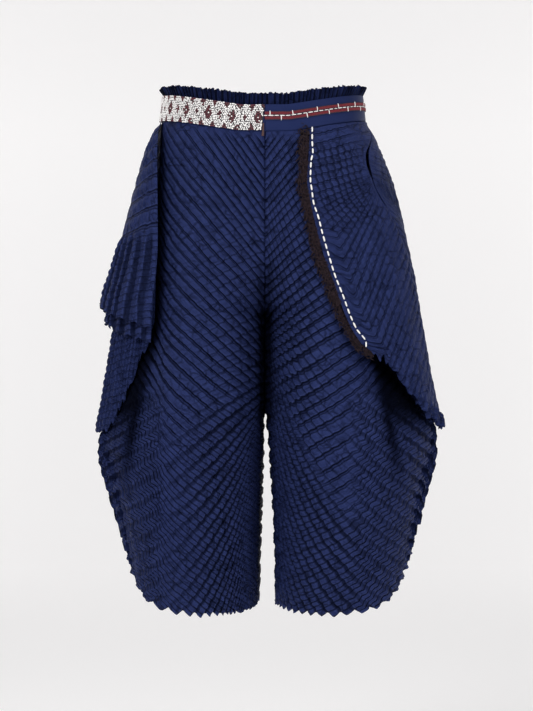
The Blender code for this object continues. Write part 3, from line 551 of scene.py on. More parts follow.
# Painted shade: how dark each fold's groove is painted, by its phase. The relief dents along the same lines.
CREASE_STOPS = (
    (0.00, 0.05), (0.03, 0.0), (0.60, 0.0), (0.655, 1.0), (0.71, 1.0), (0.75, 0.30), (0.85, 0.22),
    (0.885, 0.85), (0.91, 0.85), (0.96, 0.1),
)  # fmt: skip
DEEP_STOPS = ((0.00, 0.15), (0.05, 0.0), (0.56, 0.0), (0.64, 1.0), (0.88, 1.0), (0.95, 0.35))
FINE_STOPS = ((0.00, 0.0), (0.56, 0.0), (0.65, 1.0), (0.82, 1.0), (0.92, 0.0))
THIN_STOPS = ((0.0, 0.0), (0.66, 0.0), (0.71, 1.0), (0.77, 1.0), (0.82, 0.0))
STREAK_STOPS = ((0.34, 0.0), (0.66, 1.0))
CRUMPLE_STOPS = ((0.0, 1.0), (0.05, 0.8), (0.11, 0.0))
FACET_STOPS = ((0.25, 0.0), (0.75, 1.0))
# Painted highlight: how light the edge beside each fold is painted, by its phase.
EDGE_HIGHLIGHT_STOPS = (
    (0.00, 0.55), (0.06, 0.25), (0.16, 0.0), (0.48, 0.1), (0.565, 1.0), (0.60, 0.3), (0.64, 0.0), (1.0, 0.3),
)  # fmt: skip
CRINKLES, CLOUDS, FACETS, PATCHES, WEAVE = 260.0, 38.0, 78.0, 55.0, (2600.0, 900.0, 1.0)
SATIN = dict(Specular_IOR_Level=0.10, Specular_Tint=(0.35, 0.45, 1.0, 1.0))


def pleated_finish(name, lit, deep, edge):
    """Satin in two crossing families of folds, from its lit colour, the painted shade of its grooves and the
    painted highlight of its edges.
    """
    cloth = Finish(name, **SATIN)
    first, second = cloth.map("pleats")
    first_depth, second_depth = cloth.map("depths")
    fine, painted_hollow_shade = cloth.map("fine")
    across, down = cloth.map("cloth")
    pattern = cloth.vector(across, down)
    thin, wide = cloth.map("extra")
    lines, edges = [], []
    families = (
        (first, first_depth * (1 - fine), CREASE_STOPS),
        (first * 2, first_depth * fine, FINE_STOPS),
        (first, wide, DEEP_STOPS),
        (second, second_depth, DEEP_STOPS),
        (second, thin, THIN_STOPS),
    )
    for phase, depth, stops in families:
        turn = phase.fraction()
        lines.append(cloth.ramp(turn, stops) * depth)
        edges.append(cloth.ramp(turn, EDGE_HIGHLIGHT_STOPS) * depth)
    # The dark lines are painted shade in the fold grooves and the lighter edges a painted highlight, over all
    # families.
    spared, light = 1 - lines[0], edges[0]
    for line, edge_highlight in zip(lines[1:], edges[1:]):
        spared, light = spared * (1 - line), light + edge_highlight
    dark = 1 - spared
    crinkle = cloth.noise(pattern, CRINKLES, 3.0, 0.6)
    large = cloth.noise(pattern, CLOUDS)
    weave = cloth.noise(cloth.stretched(pattern, WEAVE), 1.0, 1.0)
    facets = {"Vector": cloth.vector(across + crinkle * 0.006, down + large * 0.020), "Scale": FACETS}
    edge_off = cloth.add("ShaderNodeTexVoronoi", facets, feature="DISTANCE_TO_EDGE")["Distance"]
    facet = cloth.ramp(cloth.add("ShaderNodeTexVoronoi", facets, feature="F1")["Color"], FACET_STOPS)
    patches = cloth.ramp(cloth.noise(pattern, PATCHES, 1.0), STREAK_STOPS)
    # Crumpled creases: dents in the relief, and painted shade darkening the tone along them.
    crumple_dents_and_shade = cloth.ramp(edge_off, CRUMPLE_STOPS) * patches
    threads = cloth.vector(first * 5, second * 0.9)
    streak = cloth.ramp(cloth.noise(threads, 1.0, 2.0, 0.6), STREAK_STOPS)
    tone = cloth.mix(large * 0.25 + crinkle * 0.15 + streak * 0.3 + facet * 0.3, lit, NAVY_MID)
    # Painted highlight beside each fold, then painted shade in the crumpled creases and in the fold grooves.
    tone = cloth.mix(light * 0.50, tone, edge)
    tone = cloth.mix(crumple_dents_and_shade * 0.6, tone, deep)
    tone = cloth.mix(dark * 0.92, tone, deep)
    # Painted shade over the hollows, nearly black where the map is full.
    tone = cloth.mix(painted_hollow_shade, tone, HOLLOW_PAINTED_SHADE)
    roughness = 0.48 + crinkle * 0.18 + dark * 0.12 + painted_hollow_shade * 0.5
    height = light * 0.30 - dark * 0.8 + crinkle * 0.9 + large * 0.6 + streak * 0.5 + weave * 0.06
    height = height - crumple_dents_and_shade * 0.6 + facet * 0.3
    return cloth.finish(tone, roughness, height, relief=0.0014, strength=0.85)


navy_pleats = pleated_finish("navy_pleats_cloth", NAVY_LIT, NAVY_GROOVE_SHADE, NAVY_EDGE_HIGHLIGHT)
print("cloth nodes:", len(navy_pleats.node_tree.nodes))

# %% [markdown]
# ## Two families of folds on a leg
# Seen from the front, the first family runs down from the side valley to the inseam, steep at the
# valley and flatter inwards, and its folds close up towards the inseam. The second runs the other way
# and fans out below the crotch like the ribs of a shell. For every point of the cloth we need the
# number of the fold that passes through it. The first family has a formula. For the second we know
# where fold n starts and how steeply it runs, so a few halvings find n for all points at once.

# %% Fold numbers on a leg
# The first family on each leg: the heights where fold 0 leaves the valley and meets the inseam, the
# pitches there, and how far out the valley lies
FIRST_FAMILY = {
    RIGHT: dict(valley=-0.0811, inseam=-0.2692, valley_pitch=0.0188, inseam_pitch=0.01437, width=0.145),
    LEFT: dict(valley=-0.0556, inseam=-0.2155, valley_pitch=0.0188, inseam_pitch=0.01316, width=0.1437),
}
VALLEY_BEND, VALLEY_REACH = 0.12, 0.08
PARALLEL = 11


def first_folds(side, x, z):
    """The number of the first family's fold at points x out from the middle and z up."""
    leg = FIRST_FAMILY[side]
    share = 1 - x / leg["width"]
    inner = np.clip(share, 0, None)
    bend = inner + VALLEY_BEND * nearing(inner, VALLEY_REACH) * (1 - inner)
    bend = np.where(share < 0, 1.6 * share, bend)
    fall = leg["valley"] + (leg["inseam"] - leg["valley"]) * bend - z
    closing = (leg["inseam_pitch"] - leg["valley_pitch"]) * bend
    number = fall / (leg["valley_pitch"] + closing)
    return np.where(number < PARALLEL, number, (fall - closing * PARALLEL) / leg["valley_pitch"])


def halving(off, low, high, steps=34):
    """Finds where a rising function crosses 0, for whole arrays at once."""
    for _ in range(steps):
        middle = (low + high) / 2
        past = off(middle) > 0
        low, high = np.where(past, low, middle), np.where(past, middle, high)
    return (low + high) / 2


# The second family on each leg: where rib 0 leaves the inseam, how steeply, and the pitch of the ribs.
# On the right leg they fan out from nearly one point, and those above rib 0 lie at two pitches.
RIB_START, RIB_SLOPE = {RIGHT: -0.404, LEFT: -0.2932}, {RIGHT: 0.53, LEFT: 0.75}
LEFT_PITCH, FAN_ROOT, FAN_PITCH = 0.0225, 0.0016, 0.0231
NEAR_PITCH, NEAR_WIDENING, FAR_PITCH = 0.0125, 0.0050, 0.0165
RIB_X = np.linspace(-0.1, 0.3, 401)
RIB_BEND = np.cumsum(1 - fade(RIB_X - 0.08, 0.105)) * (RIB_X[1] - RIB_X[0])
RIB_BEND -= np.interp(0, RIB_X, RIB_BEND)


def rib_height(side, x, n):
    """How high rib n of the second family runs at x: steep by the inseam, flatter outwards."""
    start, slope = RIB_START[side], RIB_SLOPE[side]
    if side == LEFT:
        x = np.maximum(x, 0.004)
        return start - slope * x - 0.2 * nearing(x, 0.04) - LEFT_PITCH * n
    x = np.maximum(x, 0.006)
    below, above = np.maximum(n, 0), np.maximum(-n, 0)
    near = np.minimum(above, 3)
    fanned = -below * (FAN_ROOT + FAN_PITCH * nearing(x, 0.042))
    upper = near * (NEAR_PITCH + NEAR_WIDENING * nearing(x, 0.05)) + (above - near) * FAR_PITCH
    bent = (0.38 - 0.08 * np.minimum(above, 2)) * np.interp(x, RIB_X, RIB_BEND)
    return start - slope * x - bent + fanned + upper


def second_folds(side, x, z):
    """The number of the second family's rib at a point, three quarters past a rib's groove."""
    off = lambda n: z - rib_height(side, x, n)
    return halving(off, np.full(x.shape, -50.0), np.full(x.shape, 60.0)) + 0.75


# %% [markdown]
# The folds above are drawn as the camera in front sees them. On the sides of a leg the cloth turns
# away, and a pattern drawn from the front would smear there. So the sideways coordinate grows at least
# 0.45 mm for each millimetre of cloth, which keeps the folds slanting on the sides as well.

# %% The sideways coordinate
SIDE_SHARE = 0.45
LOOK_LOW, LOOK_HIGH = -0.73, 0.07
LOOK_ANGLES = np.linspace(-90, 90, 145)
LOOK_HEIGHTS = np.linspace(LOOK_LOW, LOOK_HIGH, 201)


def sideways(surface):
    """A function that gives the pattern's sideways coordinate at angles and heights of a surface."""
    angles, heights = np.meshgrid(LOOK_ANGLES, LOOK_HEIGHTS)
    points = surface(angles, heights)
    steps = np.diff(points, axis=1)
    grown = np.maximum(np.abs(steps[..., 0]), SIDE_SHARE * np.hypot(steps[..., 0], steps[..., 1]))
    total = np.concatenate([np.zeros((len(LOOK_HEIGHTS), 1)), np.cumsum(grown, axis=1)], axis=1)
    front = len(LOOK_ANGLES) // 2
    total += (np.abs(points[:, front, 0]) - total[:, front])[:, None]

    def at(angle, height):
        a = (np.clip(angle, -90, 90) + 90) / 180 * (len(LOOK_ANGLES) - 1)
        h = (np.clip(height, LOOK_LOW, LOOK_HIGH) - LOOK_LOW) / 0.80 * (len(LOOK_HEIGHTS) - 1)
        i = np.minimum(a.astype(int), len(LOOK_ANGLES) - 2)
        j = np.minimum(h.astype(int), len(LOOK_HEIGHTS) - 2)
        a, h = a - i, h - j
        low = total[j, i] * (1 - a) + total[j, i + 1] * a
        high = total[j + 1, i] * (1 - a) + total[j + 1, i + 1] * a
        return low * (1 - h) + high * h

    return at


# %% [markdown]
# ## The four petals
# Each leg is two panels, cut like petals: their hems rise towards the side. The folds end there in a
# zigzag, one tooth to each rib of the fan. We lay a grid on the panel whose columns spread from the
# waist to the hem, so its last row is the true hem, tooth by tooth. How strong the folds are changes
# from place to place, and each fade below says where that change begins and how wide it is, in metres.

# %% Petal grids
PETAL_HEM = (
    (-90, -0.6870), (-45, -0.6935), (0, -0.6955), (30, -0.6900), (45, -0.6830), (55, -0.6740),
    (65, -0.6600), (72, -0.6400), (78, -0.6000), (84, -0.5500), (87, -0.5100), (90, TIP),
)  # fmt: skip
BACK_HEM_SPREAD = 2.5
TOOTH = {RIGHT: 0.0042, LEFT: 0.0032}
HEM_RADIUS = 0.11
FIRST_RISE, SECOND_RISE = 0.0017, 0.0019
SEAM_MEETS, LEGS_PART = -0.0001, -0.425
SIDE_TOOTH, TIP_ABOVE = 0.0034, 0.44
CLOTH_THICK, HEM_THICK = 0.0038, 0.0008
RISE_CAP, HEM_LIFT, INSEAM_TROUGH, BACK_TUCKED_IN = 0.0026, 0.0016, 0.0022, 0.0065
SEAM_REACH, LEG_MIDDLE = 0.0014, 0.09
COVERED_FROM = {RIGHT: 0.135, LEFT: 0.065}
SEEDS = {RIGHT: 3, LEFT: 17}


def spaced(points, count):
    """Where to stand along a line of points so that the steps are equal, as shares of its index."""
    length = lengths_along(points)
    return np.interp(np.linspace(0, length[-1], count), length, np.arange(len(points)))


def leg_depths(side, x, z, rib):
    """How strong each family is over a leg, where the first halves its pitch, kinks and gapes, and where
    the second is a thin line."""
    low = fade(-0.375 - z, 0.05)
    beyond = fade(x - CREASE["across"](z) - 0.014, 0.012) * low
    if side == RIGHT:
        outer = fade(x - 0.125, 0.03) * low
        fine = np.maximum(fade(rib + 2.2, 1.6), outer)
        second = 0.88 * fade(0.16 - x, 0.10) * fade(rib + 3.5, 3.0)
        second = np.maximum(second, 0.45 * fade(0.055 - x, 0.05) * fade(-0.22 - z, 0.10))
        thin = 0.12 + 0.48 * fade(0.12 - x, 0.07) * fade(-0.10 - z, 0.12)
        wide = bell(x - 0.150, 0.036) * fade(-0.06 - z, 0.06) * fade(z + 0.42, 0.06)
        kink = 0.025 + 0.26 * outer
    else:
        outer = fade(x - 0.105, 0.03) * low
        fine = np.maximum(fade(rib + 0.4, 1.6), 0.8 * outer)
        second = 0.80 * fade(rib + 1.0, 3.0) * (1 - 0.6 * outer)
        second = np.maximum(second, 0.30 * fade(0.085 - x, 0.03) * fade(-0.12 - z, 0.08))
        thin = 0.30 + 0.45 * fade(0.10 - x, 0.04) * fade(-0.06 - z, 0.08)
        wide = 0.5 * fade(0.10 - x, 0.05) * fade(-0.16 - z, 0.10) * fade(z + 0.46, 0.06)
        kink = 0.035 + 0.10 * outer + 0.12 * fade(0.06 - x, 0.03) * fade(-0.22 - z, 0.10)
    second = np.maximum(second, np.maximum(0.40 * outer, 0.75 * beyond))
    first = 1 - 0.30 * fine * (1 - outer) - 0.25 * fade(0.05 - x, 0.03) * low - 0.35 * beyond
    return first, second, fine, kink, thin * (1 - second), 0.9 * wide


def shade(side, x, z):
    """How much painted shade darkens the cloth: beside the side valley, under the drape or overlay, at the
    inseam.
    """
    off = x - CREASE["across"](z) - (0.010 * fade(-0.33 - z, 0.05) if side == RIGHT else 0.0)
    under = 0.99 * fade(off + 0.003, 0.010) * fade(z + 0.470, 0.060) * fade(-0.28 - z, 0.03)
    groove = 0.92 * bell(off - 0.004, 0.010) * fade(z + 0.56, 0.12) * fade(-0.08 - z, 0.08)
    middle = fade(-0.19 - z, 0.05) * fade(z + 0.46, 0.05)
    inner = np.maximum(x, 0)
    inside = bell(inner, 0.0075) * 0.92 + 0.30 * bell(inner, 0.024)
    return np.clip(np.maximum(np.maximum(under, groove), inside * middle), 0, 0.98)


def closed(points, half):
    """Front and back meet at the sides and the inseam, where a ray of light would show between them."""
    points, deep = points.copy(), half * points[..., 1]
    points[..., 1] = half * np.where(deep < SEAM_REACH, SEAM_MEETS, deep)
    return points


def petal(name, side, half, rows, columns):
    """One quarter of the legs' cloth, with its two families of folds and its toothed hem."""
    surface = partial(body, side, half)
    look = sideways(surface)
    angle = np.linspace(-90, 90, 1441)
    height = straight(PETAL_HEM, angle)
    if half == BACK:
        angle = np.minimum(angle + BACK_HEM_SPREAD * fade(angle - 40, 20), 90)
    place = spaced(surface(angle, height), columns + 1)
    index = np.arange(len(angle))
    hem_angle, hem_height = np.interp(place, index, angle), np.interp(place, index, height)
    hem = surface(hem_angle, hem_height)
    tooth = TOOTH[side] * zigzag(second_folds(side, look(hem_angle, hem_height), hem[..., 2]))
    column = np.arange(columns + 1)
    tooth *= fade(column, 5) * fade(columns - column, 5)
    aside = fade(hem_height + 0.69, 0.04)
    hem_angle = np.minimum(hem_angle + np.degrees(tooth * aside / HEM_RADIUS), 90)
    hem_height = hem_height - (tooth - HEM_LIFT) * (1 - aside)
    top_angle = np.interp(spaced(surface(angle, WAIST), columns + 1), index, angle)
    t = np.linspace(0, 1, rows + 1)[:, None]
    heights = WAIST + (hem_height - WAIST) * t
    angles = top_angle + (hem_angle - top_angle) * t**2.2
    base = surface(angles, heights)
    touching = fade(base[..., 2] - LEGS_PART, 0.02) * (1 - fade(angles + 90, 9))
    base[..., 0] -= side * (BODY["inseam_left"](heights) - SEAM_MEETS) * touching
    x, z = look(angles, heights), base[..., 2]
    seed = SEEDS[side]
    first, second = first_folds(side, x, z), second_folds(side, x, z)
    first_depth, second_depth, fine, kink, thin, wide = leg_depths(side, x, z, second)
    first = first + 0.10 * np.sin(first * 0.9 + seed) + 0.06 * np.sin(first * 2.3)
    first = first + 0.10 * dents(x, z, 0.035, seed)
    first, second = (
        first + kink * zigzag(second),
        second + 0.07 * zigzag(first) + 0.06 * dents(x, z, 0.03, seed + 1),
    )
    waist_calm = fade(WAIST - heights, 0.014)
    inseam_calm = fade(angles + 90, 7)
    side_calm = fade(90 - angles, 7)
    rise = FIRST_RISE * first_depth * ((1 - fine) * crisp_fold(first) + fine * 0.75 * soft_fold(2 * first))
    rise = rise + SECOND_RISE * second_depth * crisp_fold(second) + 0.0005 * thin * soft_fold(second)
    rise = rise + 0.0010 * wide * crisp_fold(first)
    rise = rise + 0.0006 * dents(x, z, 0.012, seed + 2) + 0.0005 * dents(x, z, 0.005, seed + 3)
    covered = fade(x - COVERED_FROM[side], 0.02) * (1 - fade(WAIST - heights, 0.08))
    rise = np.minimum(rise, RISE_CAP) * waist_calm * (0.25 + 0.75 * inseam_calm) * side_calm
    rise = rise * (1 - 0.75 * covered)
    trough = INSEAM_TROUGH * bell(angles + 90, 5) * fade(WAIST - z, 0.02) * fade(z - CROTCH, 0.02)
    rise = rise - trough
    at_side = fade(angles - 62, 14) * fade(-TIP_ABOVE - z, 0.02) * fade(t - 0.80, 0.20)
    rise = rise + SIDE_TOOTH * zigzag(second) * at_side
    if half == BACK:
        rise = rise - BACK_TUCKED_IN * fade(angles - 52, 26) * fade(TIP - z, 0.04) * fade(t - 0.5, 0.3)
    hemward = fade(t * (rows + 1) - (rows - 8), 8)
    thickness = CLOTH_THICK * (1 - hemward) + HEM_THICK * hemward
    # Painted shade for the hollows, weaker on the backs and fading out at the very sides.
    painted_hollow_shade = shade(side, x, z) * (fade(84 - np.abs(angles), 20) if half == FRONT else 0.3)
    maps = pleat_maps(
        x.shape, (first, second), (first_depth * waist_calm, second_depth * waist_calm),
        (x + 0.5 * side, z), (fine, painted_hollow_shade), (thin * waist_calm, wide),
    )

    def beside_the_other_leg(points):
        points = closed(points, half)
        out = side * points[..., 0]
        seam = np.argmin(out.mean(axis=0))
        out = np.maximum(out, SEAM_MEETS)
        out[:, seam] = np.where(points[:, seam, 2] > LEGS_PART, SEAM_MEETS, out[:, seam])
        points[..., 0] = side * out
        return points

    return shell(
        name, base, rise, thickness, maps, navy_pleats, side * LEG_MIDDLE, keep_inside=beside_the_other_leg
    )


def cells(count):
    """That many cells, rounded down to an even number."""
    return count // 2 * 2


petals = {
    "front_right": petal("pleated_front_right", RIGHT, FRONT, cells(296), cells(230)),
    "front_left": petal("pleated_front_left", LEFT, FRONT, cells(296), cells(230)),
    "back_right": petal("pleated_back_right", RIGHT, BACK, cells(180), cells(140)),
    "back_left": petal("pleated_back_left", LEFT, BACK, cells(180), cells(140)),
}

# %% [markdown]
# ## The tiered drape on the right hip
# Three tiers hang over each other from the waistband. The upper tier is laid in a few curved tucks
# across, like shingles, and opens below them into box folds. The lower tier is finely waffled, and its
# hem climbs towards the front in a zigzag. Each tier is a part of a wide arc round the hip.

# %% Drape tiers
WIDE_DRAPE = curves(
    "side depth front_edge",
    (
        (-0.0188, 0.1464, 0.104, 0.1446),
        (-0.0300, 0.1545, 0.105, 0.1475),
        (-0.0560, 0.1665, 0.106, 0.1482),
        (-0.1120, 0.1825, 0.107, 0.1472),
        (-0.1680, 0.1975, 0.108, 0.1462),
        (-0.2200, 0.2130, 0.110, 0.1460),
        (-0.2700, 0.2280, 0.113, 0.1462),
        (-0.3300, 0.2400, 0.118, 0.1470),
        (-0.4000, 0.2440, 0.125, 0.1500),
        (-0.4600, 0.2460, 0.130, 0.1500),
    ),
)
LOWER_DRAPE = curves(
    "side depth front_edge",
    (
        (-0.2350, 0.1985, 0.0925, 0.1440),
        (-0.2700, 0.2045, 0.0930, 0.1440),
        (-0.3300, 0.2145, 0.0970, 0.1460),
        (-0.3720, 0.2215, 0.1060, 0.1500),
        (-0.4120, 0.2285, 0.1160, 0.1500),
        (-0.4490, 0.2345, 0.1240, 0.1500),
    ),
)
DRAPE_AXIS = 0.085
TUCK = 0.0026
UPPER_HEM = ((-1.0, -0.300), (-0.5, -0.288), (0.0, -0.272), (0.5, -0.288), (1.0, -0.305))
MIDDLE_HEM = ((-0.96, -0.318), (-0.5, -0.308), (0.0, -0.295), (0.5, -0.310), (0.96, -0.326))
LOWER_HEM = (
    (-0.94, -0.310), (-0.80, -0.352), (-0.65, -0.398), (-0.42, -0.440), (0.0, -0.449), (0.42, -0.447),
    (0.51, -0.436), (0.60, -0.415), (0.70, -0.389), (0.80, -0.351), (0.88, -0.325), (0.94, -0.300),
)  # fmt: skip


def drape(table, inset, share, height):
    """Points of a tier: share is 1 at its front edge, 0 at the side and -1 at its back edge."""
    sunk = np.clip((-0.17 - height) / 0.09, 0, 1)
    inside = (TUCK + (inset - TUCK) * sunk) if inset else 0.0
    side, depth, edge = (table[c](height) for c in ("side", "depth", "front_edge"))
    front_turn = np.arccos(np.minimum((edge - DRAPE_AXIS) / (side - DRAPE_AXIS), 1))
    back_turn = np.minimum(front_turn * 1.1, math.radians(64))
    turn = share * np.where(share < 0, back_turn, front_turn)
    y = -(depth - inside) * np.sin(turn) * np.where(share < 0, 1.16, 1.0)
    angle = np.degrees(np.arccos(np.clip(np.sin(turn), -1, 1)))
    drop = np.where(share < 0, 0.0, dip(angle, height))
    x = -(DRAPE_AXIS + (side - inside - DRAPE_AXIS) * np.cos(turn))
    return np.stack([x, y, height + drop], axis=-1)


# %% [markdown]
# A tuck is a small step where the cloth above overlaps the cloth below. The steps sit 22 mm apart on
# the hip and then close up to fine cross creases. They sag towards the side, as rings round a hip do
# when the hip slopes.

# %% Tier folds
# The number of the tuck at each distance below the waist
TUCKS = (
    (0.020, -1.9), (0.0594, 0.0), (0.0803, 1.0), (0.1025, 2.0), (0.1247, 3.0), (0.1463, 4.0),
    (0.1706, 5.0), (0.30, 18.5), (0.46, 35.0),
)  # fmt: skip
TUCK_SAG = 0.017
SHEET = 0.0007
TUCK_STEP, CREASE_STEP = 0.0023, 0.0008
WAFFLE_PITCH, HIP_RADIUS = 0.0106, 0.13


def hem_teeth(share, bottom, width, size, pitch):
    """Teeth square to a hem that may run steeply, as changes of its height."""
    run, fall = np.gradient(share[0] * width), np.gradient(bottom[0])
    length = np.cumsum(np.hypot(run, fall))
    steep = np.minimum(np.hypot(run, fall) / np.abs(run), 3.2)
    return (size * steep * zigzag(length / pitch))[None, :]


def tier(name, table, inset, top, hem, reach, folds, rise, tooth, seed, rows, columns, waffle=False):
    """One tier of the drape, in box folds below its tucks, or waffled all over."""
    share = np.linspace(-reach, reach, columns + 1)[None, :]
    bottom = straight(hem, share)
    fold = share * folds + 0.12 * np.sin(share * 9 + seed) + 0.06 * np.sin(share * 23)
    ends = fade(reach - np.abs(share), 0.05)
    if waffle:
        bottom = bottom - hem_teeth(share, bottom, HIP_RADIUS, tooth, WAFFLE_PITCH) * (0.3 + 0.7 * ends)
    else:
        bottom = bottom - tooth * zigzag(fold + 0.5) * ends
    t = np.linspace(0, 1, rows + 1)[:, None]
    height = top + (bottom - top) * t
    if not waffle:
        share = share * (1 - 0.055 * fade(-0.19 - height, 0.10) * fade(share, 0.5))
    base = drape(table, inset, share, height)
    z = base[..., 2]
    fold = fold + 0.10 * dents(share, z, 0.05, seed)
    sagged = z + TUCK_SAG * np.maximum(1 - share**2, 0) ** 1.8 + 0.0012 * dents(share, z, 0.06, seed + 5)
    across = straight(TUCKS, -sagged)
    if waffle:
        across = across + 0.16 * zigzag(2 * fold)
    deepening = fade(top - height, 0.03) if waffle else fade(-0.170 - z, 0.025)
    low = fade(-0.168 - z, 0.015)
    in_view = 0.22 + 0.78 * fade(np.abs(share) - 0.20, 0.40)
    tucked = (1 - low) * TUCK_STEP * in_view + low * CREASE_STEP
    wave = rise * deepening * (0.55 * soft_fold(fold) + 0.45 * zigzag(fold))
    wave = wave + tucked * soft_fold(across + 0.2) * fade(WAIST - 0.012 - z, 0.02)
    if waffle:
        wave = wave + 0.0008 * soft_fold(3 * fold) * fade(top - height, 0.02)
    wave = wave + 0.0007 * dents(share * 0.2, z, 0.014, seed + 1)
    wave = wave + 0.0004 * dents(share * 0.2, z, 0.006, seed + 2)
    wave = wave * ends * fade(WAIST - height, 0.012)
    wave = wave + fade(t - 0.94, 0.06) * 0.0012 * zigzag(fold * 2)
    maps = pleat_maps(
        z.shape, (across, fold * (3 if waffle else 1)),
        (0.95 - low * 0.25, deepening * (0.34 if waffle else 0.72)), (share * 0.2 + seed, z),
    )
    return shell(name, base, wave, SHEET, maps, navy_pleats, -DRAPE_AXIS)


tiers = {
    "right_drape_upper": tier(
        "hip_drape_upper", WIDE_DRAPE, 0.0, WAIST, UPPER_HEM, 1.0, 6.5, 0.0036, 0.0026, 2,
        cells(132), cells(164),
    ),
    "right_drape_middle": tier(
        "hip_drape_middle", WIDE_DRAPE, 0.0125, -0.175, MIDDLE_HEM, 0.96, 6.5, 0.0036, 0.003, 5,
        cells(64), cells(160),
    ),
    "right_drape_lower": tier(
        "hip_drape_lower", LOWER_DRAPE, 0.0, -0.240, LOWER_HEM, 0.94, 9, 0.0019, 0.0032, 9,
        cells(110), cells(168), waffle=True,
    ),
}

# %% [markdown]
# ## The wrapped overlay on the left hip
# This panel comes from the waistband, is gathered to a point just below the pocket slit, and fans down
# to a crinkled hem. Its folds start at the gather and spread like a palm leaf. Creases across them cut
# the upper part into small squares. Beyond the slit, a second panel goes on round the hip to the back.

# %% Overlay surface
OVERLAY_SIDE = curve(
    (-0.0188, -0.0400, -0.0654, -0.1010, -0.1270, -0.1580, -0.2110, -0.2740, -0.3090, -0.3510, -0.3900,
     -0.4230, -0.4450),
    (0.1427, 0.1535, 0.1634, 0.1780, 0.1850, 0.1925, 0.2040, 0.2155, 0.2210, 0.2285, 0.2365, 0.2430, 0.2480),
)  # fmt: skip
FRINGED_EDGE = curve(
    (-0.0190, -0.0690, -0.1000, -0.1250, -0.1590, -0.1900, -0.2120, -0.2400, -0.2680, -0.2960, -0.3270,
     -0.3420),
    (0.0605, 0.0584, 0.0568, 0.0592, 0.0662, 0.0739, 0.0801, 0.0909, 0.1003, 0.1108, 0.1293, 0.1450),
)  # fmt: skip
FRINGE_TOP, FRINGE_END = -0.0215, -0.342
SPLIT_ANGLE = curve(
    (-0.0190, -0.0654, -0.1055, -0.1600, -0.2500, -0.3300, -0.4410), (80, 55, 48.6, 62, 84, 90, 90)
)
HEM_START = 25.5
OVERLAY_HEM = (
    (HEM_START, -0.3420), (35, -0.3500), (40, -0.3690), (44, -0.3840), (49, -0.3980), (55, -0.4120),
    (62, -0.4260), (78, -0.4400), (90, -0.4440),
)  # fmt: skip
OVERLAY_BACK_HEM = ((0.0, -0.4430), (0.3, -0.4350), (0.55, -0.4060), (0.78, -0.3680), (1.0, -0.3300))
OVERLAY_MIDDLE, BACK_END = 0.06, 154
TOP_LIFT, MORE_LIFT = 0.0025, 0.0053
SLIT_END, SLIT_GAPE = -0.045, 0.0070
GATHER_X, GATHER_Z = 0.1494, -0.1055


def overlay(half, angle, height):
    """Points of the overlay, which stands off the leg a little more below the band."""
    lift = TOP_LIFT + MORE_LIFT * fade(WAIST - height, 0.06)
    return body(LEFT, half, angle, height, OVERLAY_SIDE(height), lift)


def fringed_angle(height):
    """The angle of the fringed edge at a height."""
    middle = BODY["middle"](height)
    share = (FRINGED_EDGE(height) - middle) / (OVERLAY_SIDE(height) - middle)
    return np.degrees(np.arcsin(np.clip(share, 0, 1)))


def split_angle(height):
    """The front panel's angle at the slit, which gapes between the band and the gather."""
    angle = SPLIT_ANGLE(height)
    share = np.clip((height - GATHER_Z) / (SLIT_END - GATHER_Z), 0, 1)
    gap = 0.0006 + SLIT_GAPE * np.sin(math.pi * share)
    wide = (OVERLAY_SIDE(height) - BODY["middle"](height)) * np.cos(np.radians(angle))
    deep = BODY["front"](height) * np.sin(np.radians(angle))
    return angle - np.degrees(gap / np.hypot(wide, deep))


# %% [markdown]
# The same halving that numbered the legs' folds numbers these. The first folds leave the gather at a
# low slope, and each one after them is seven degrees steeper. From fold 8 on they are parallel and start
# further and further down the side.

# %% Overlay folds
FOLD_TURN, FIRST_SLOPE, LAST_FAN_FOLD = 7.0, 16.0, 7.6
ABOVE_STEP, BELOW_STEP = 0.0109, 0.0160
CROSS_PITCH = 0.0090
CHEVRON, CORNER = 0.024, 0.0007
RUFFLE, SMALL_RUFFLE, RUFFLE_CAP = 0.0046, 0.0022, 0.0055


def overlay_folds(x, z):
    """The number of the fold through a point, and its distance from where that fold starts."""

    def line(n):
        past = softly_past(n - LAST_FAN_FOLD)
        above = softly_past(-n)
        slope = np.radians(FIRST_SLOPE + FOLD_TURN * (softly_past(n) - past))
        start_x = GATHER_X + 0.259 * BELOW_STEP * past - 0.2 * ABOVE_STEP * above
        start_z = GATHER_Z - 0.966 * BELOW_STEP * past + ABOVE_STEP * above
        return slope, start_x, start_z

    def off(n):
        slope, start_x, start_z = line(n)
        return (z - start_z) * np.cos(slope) - (x - start_x) * np.sin(slope)

    n = halving(off, np.full(x.shape, -20.0), np.full(x.shape, 50.0))
    _, start_x, start_z = line(n)
    return n, np.hypot(x - start_x, z - start_z) * np.sign(start_x - x)


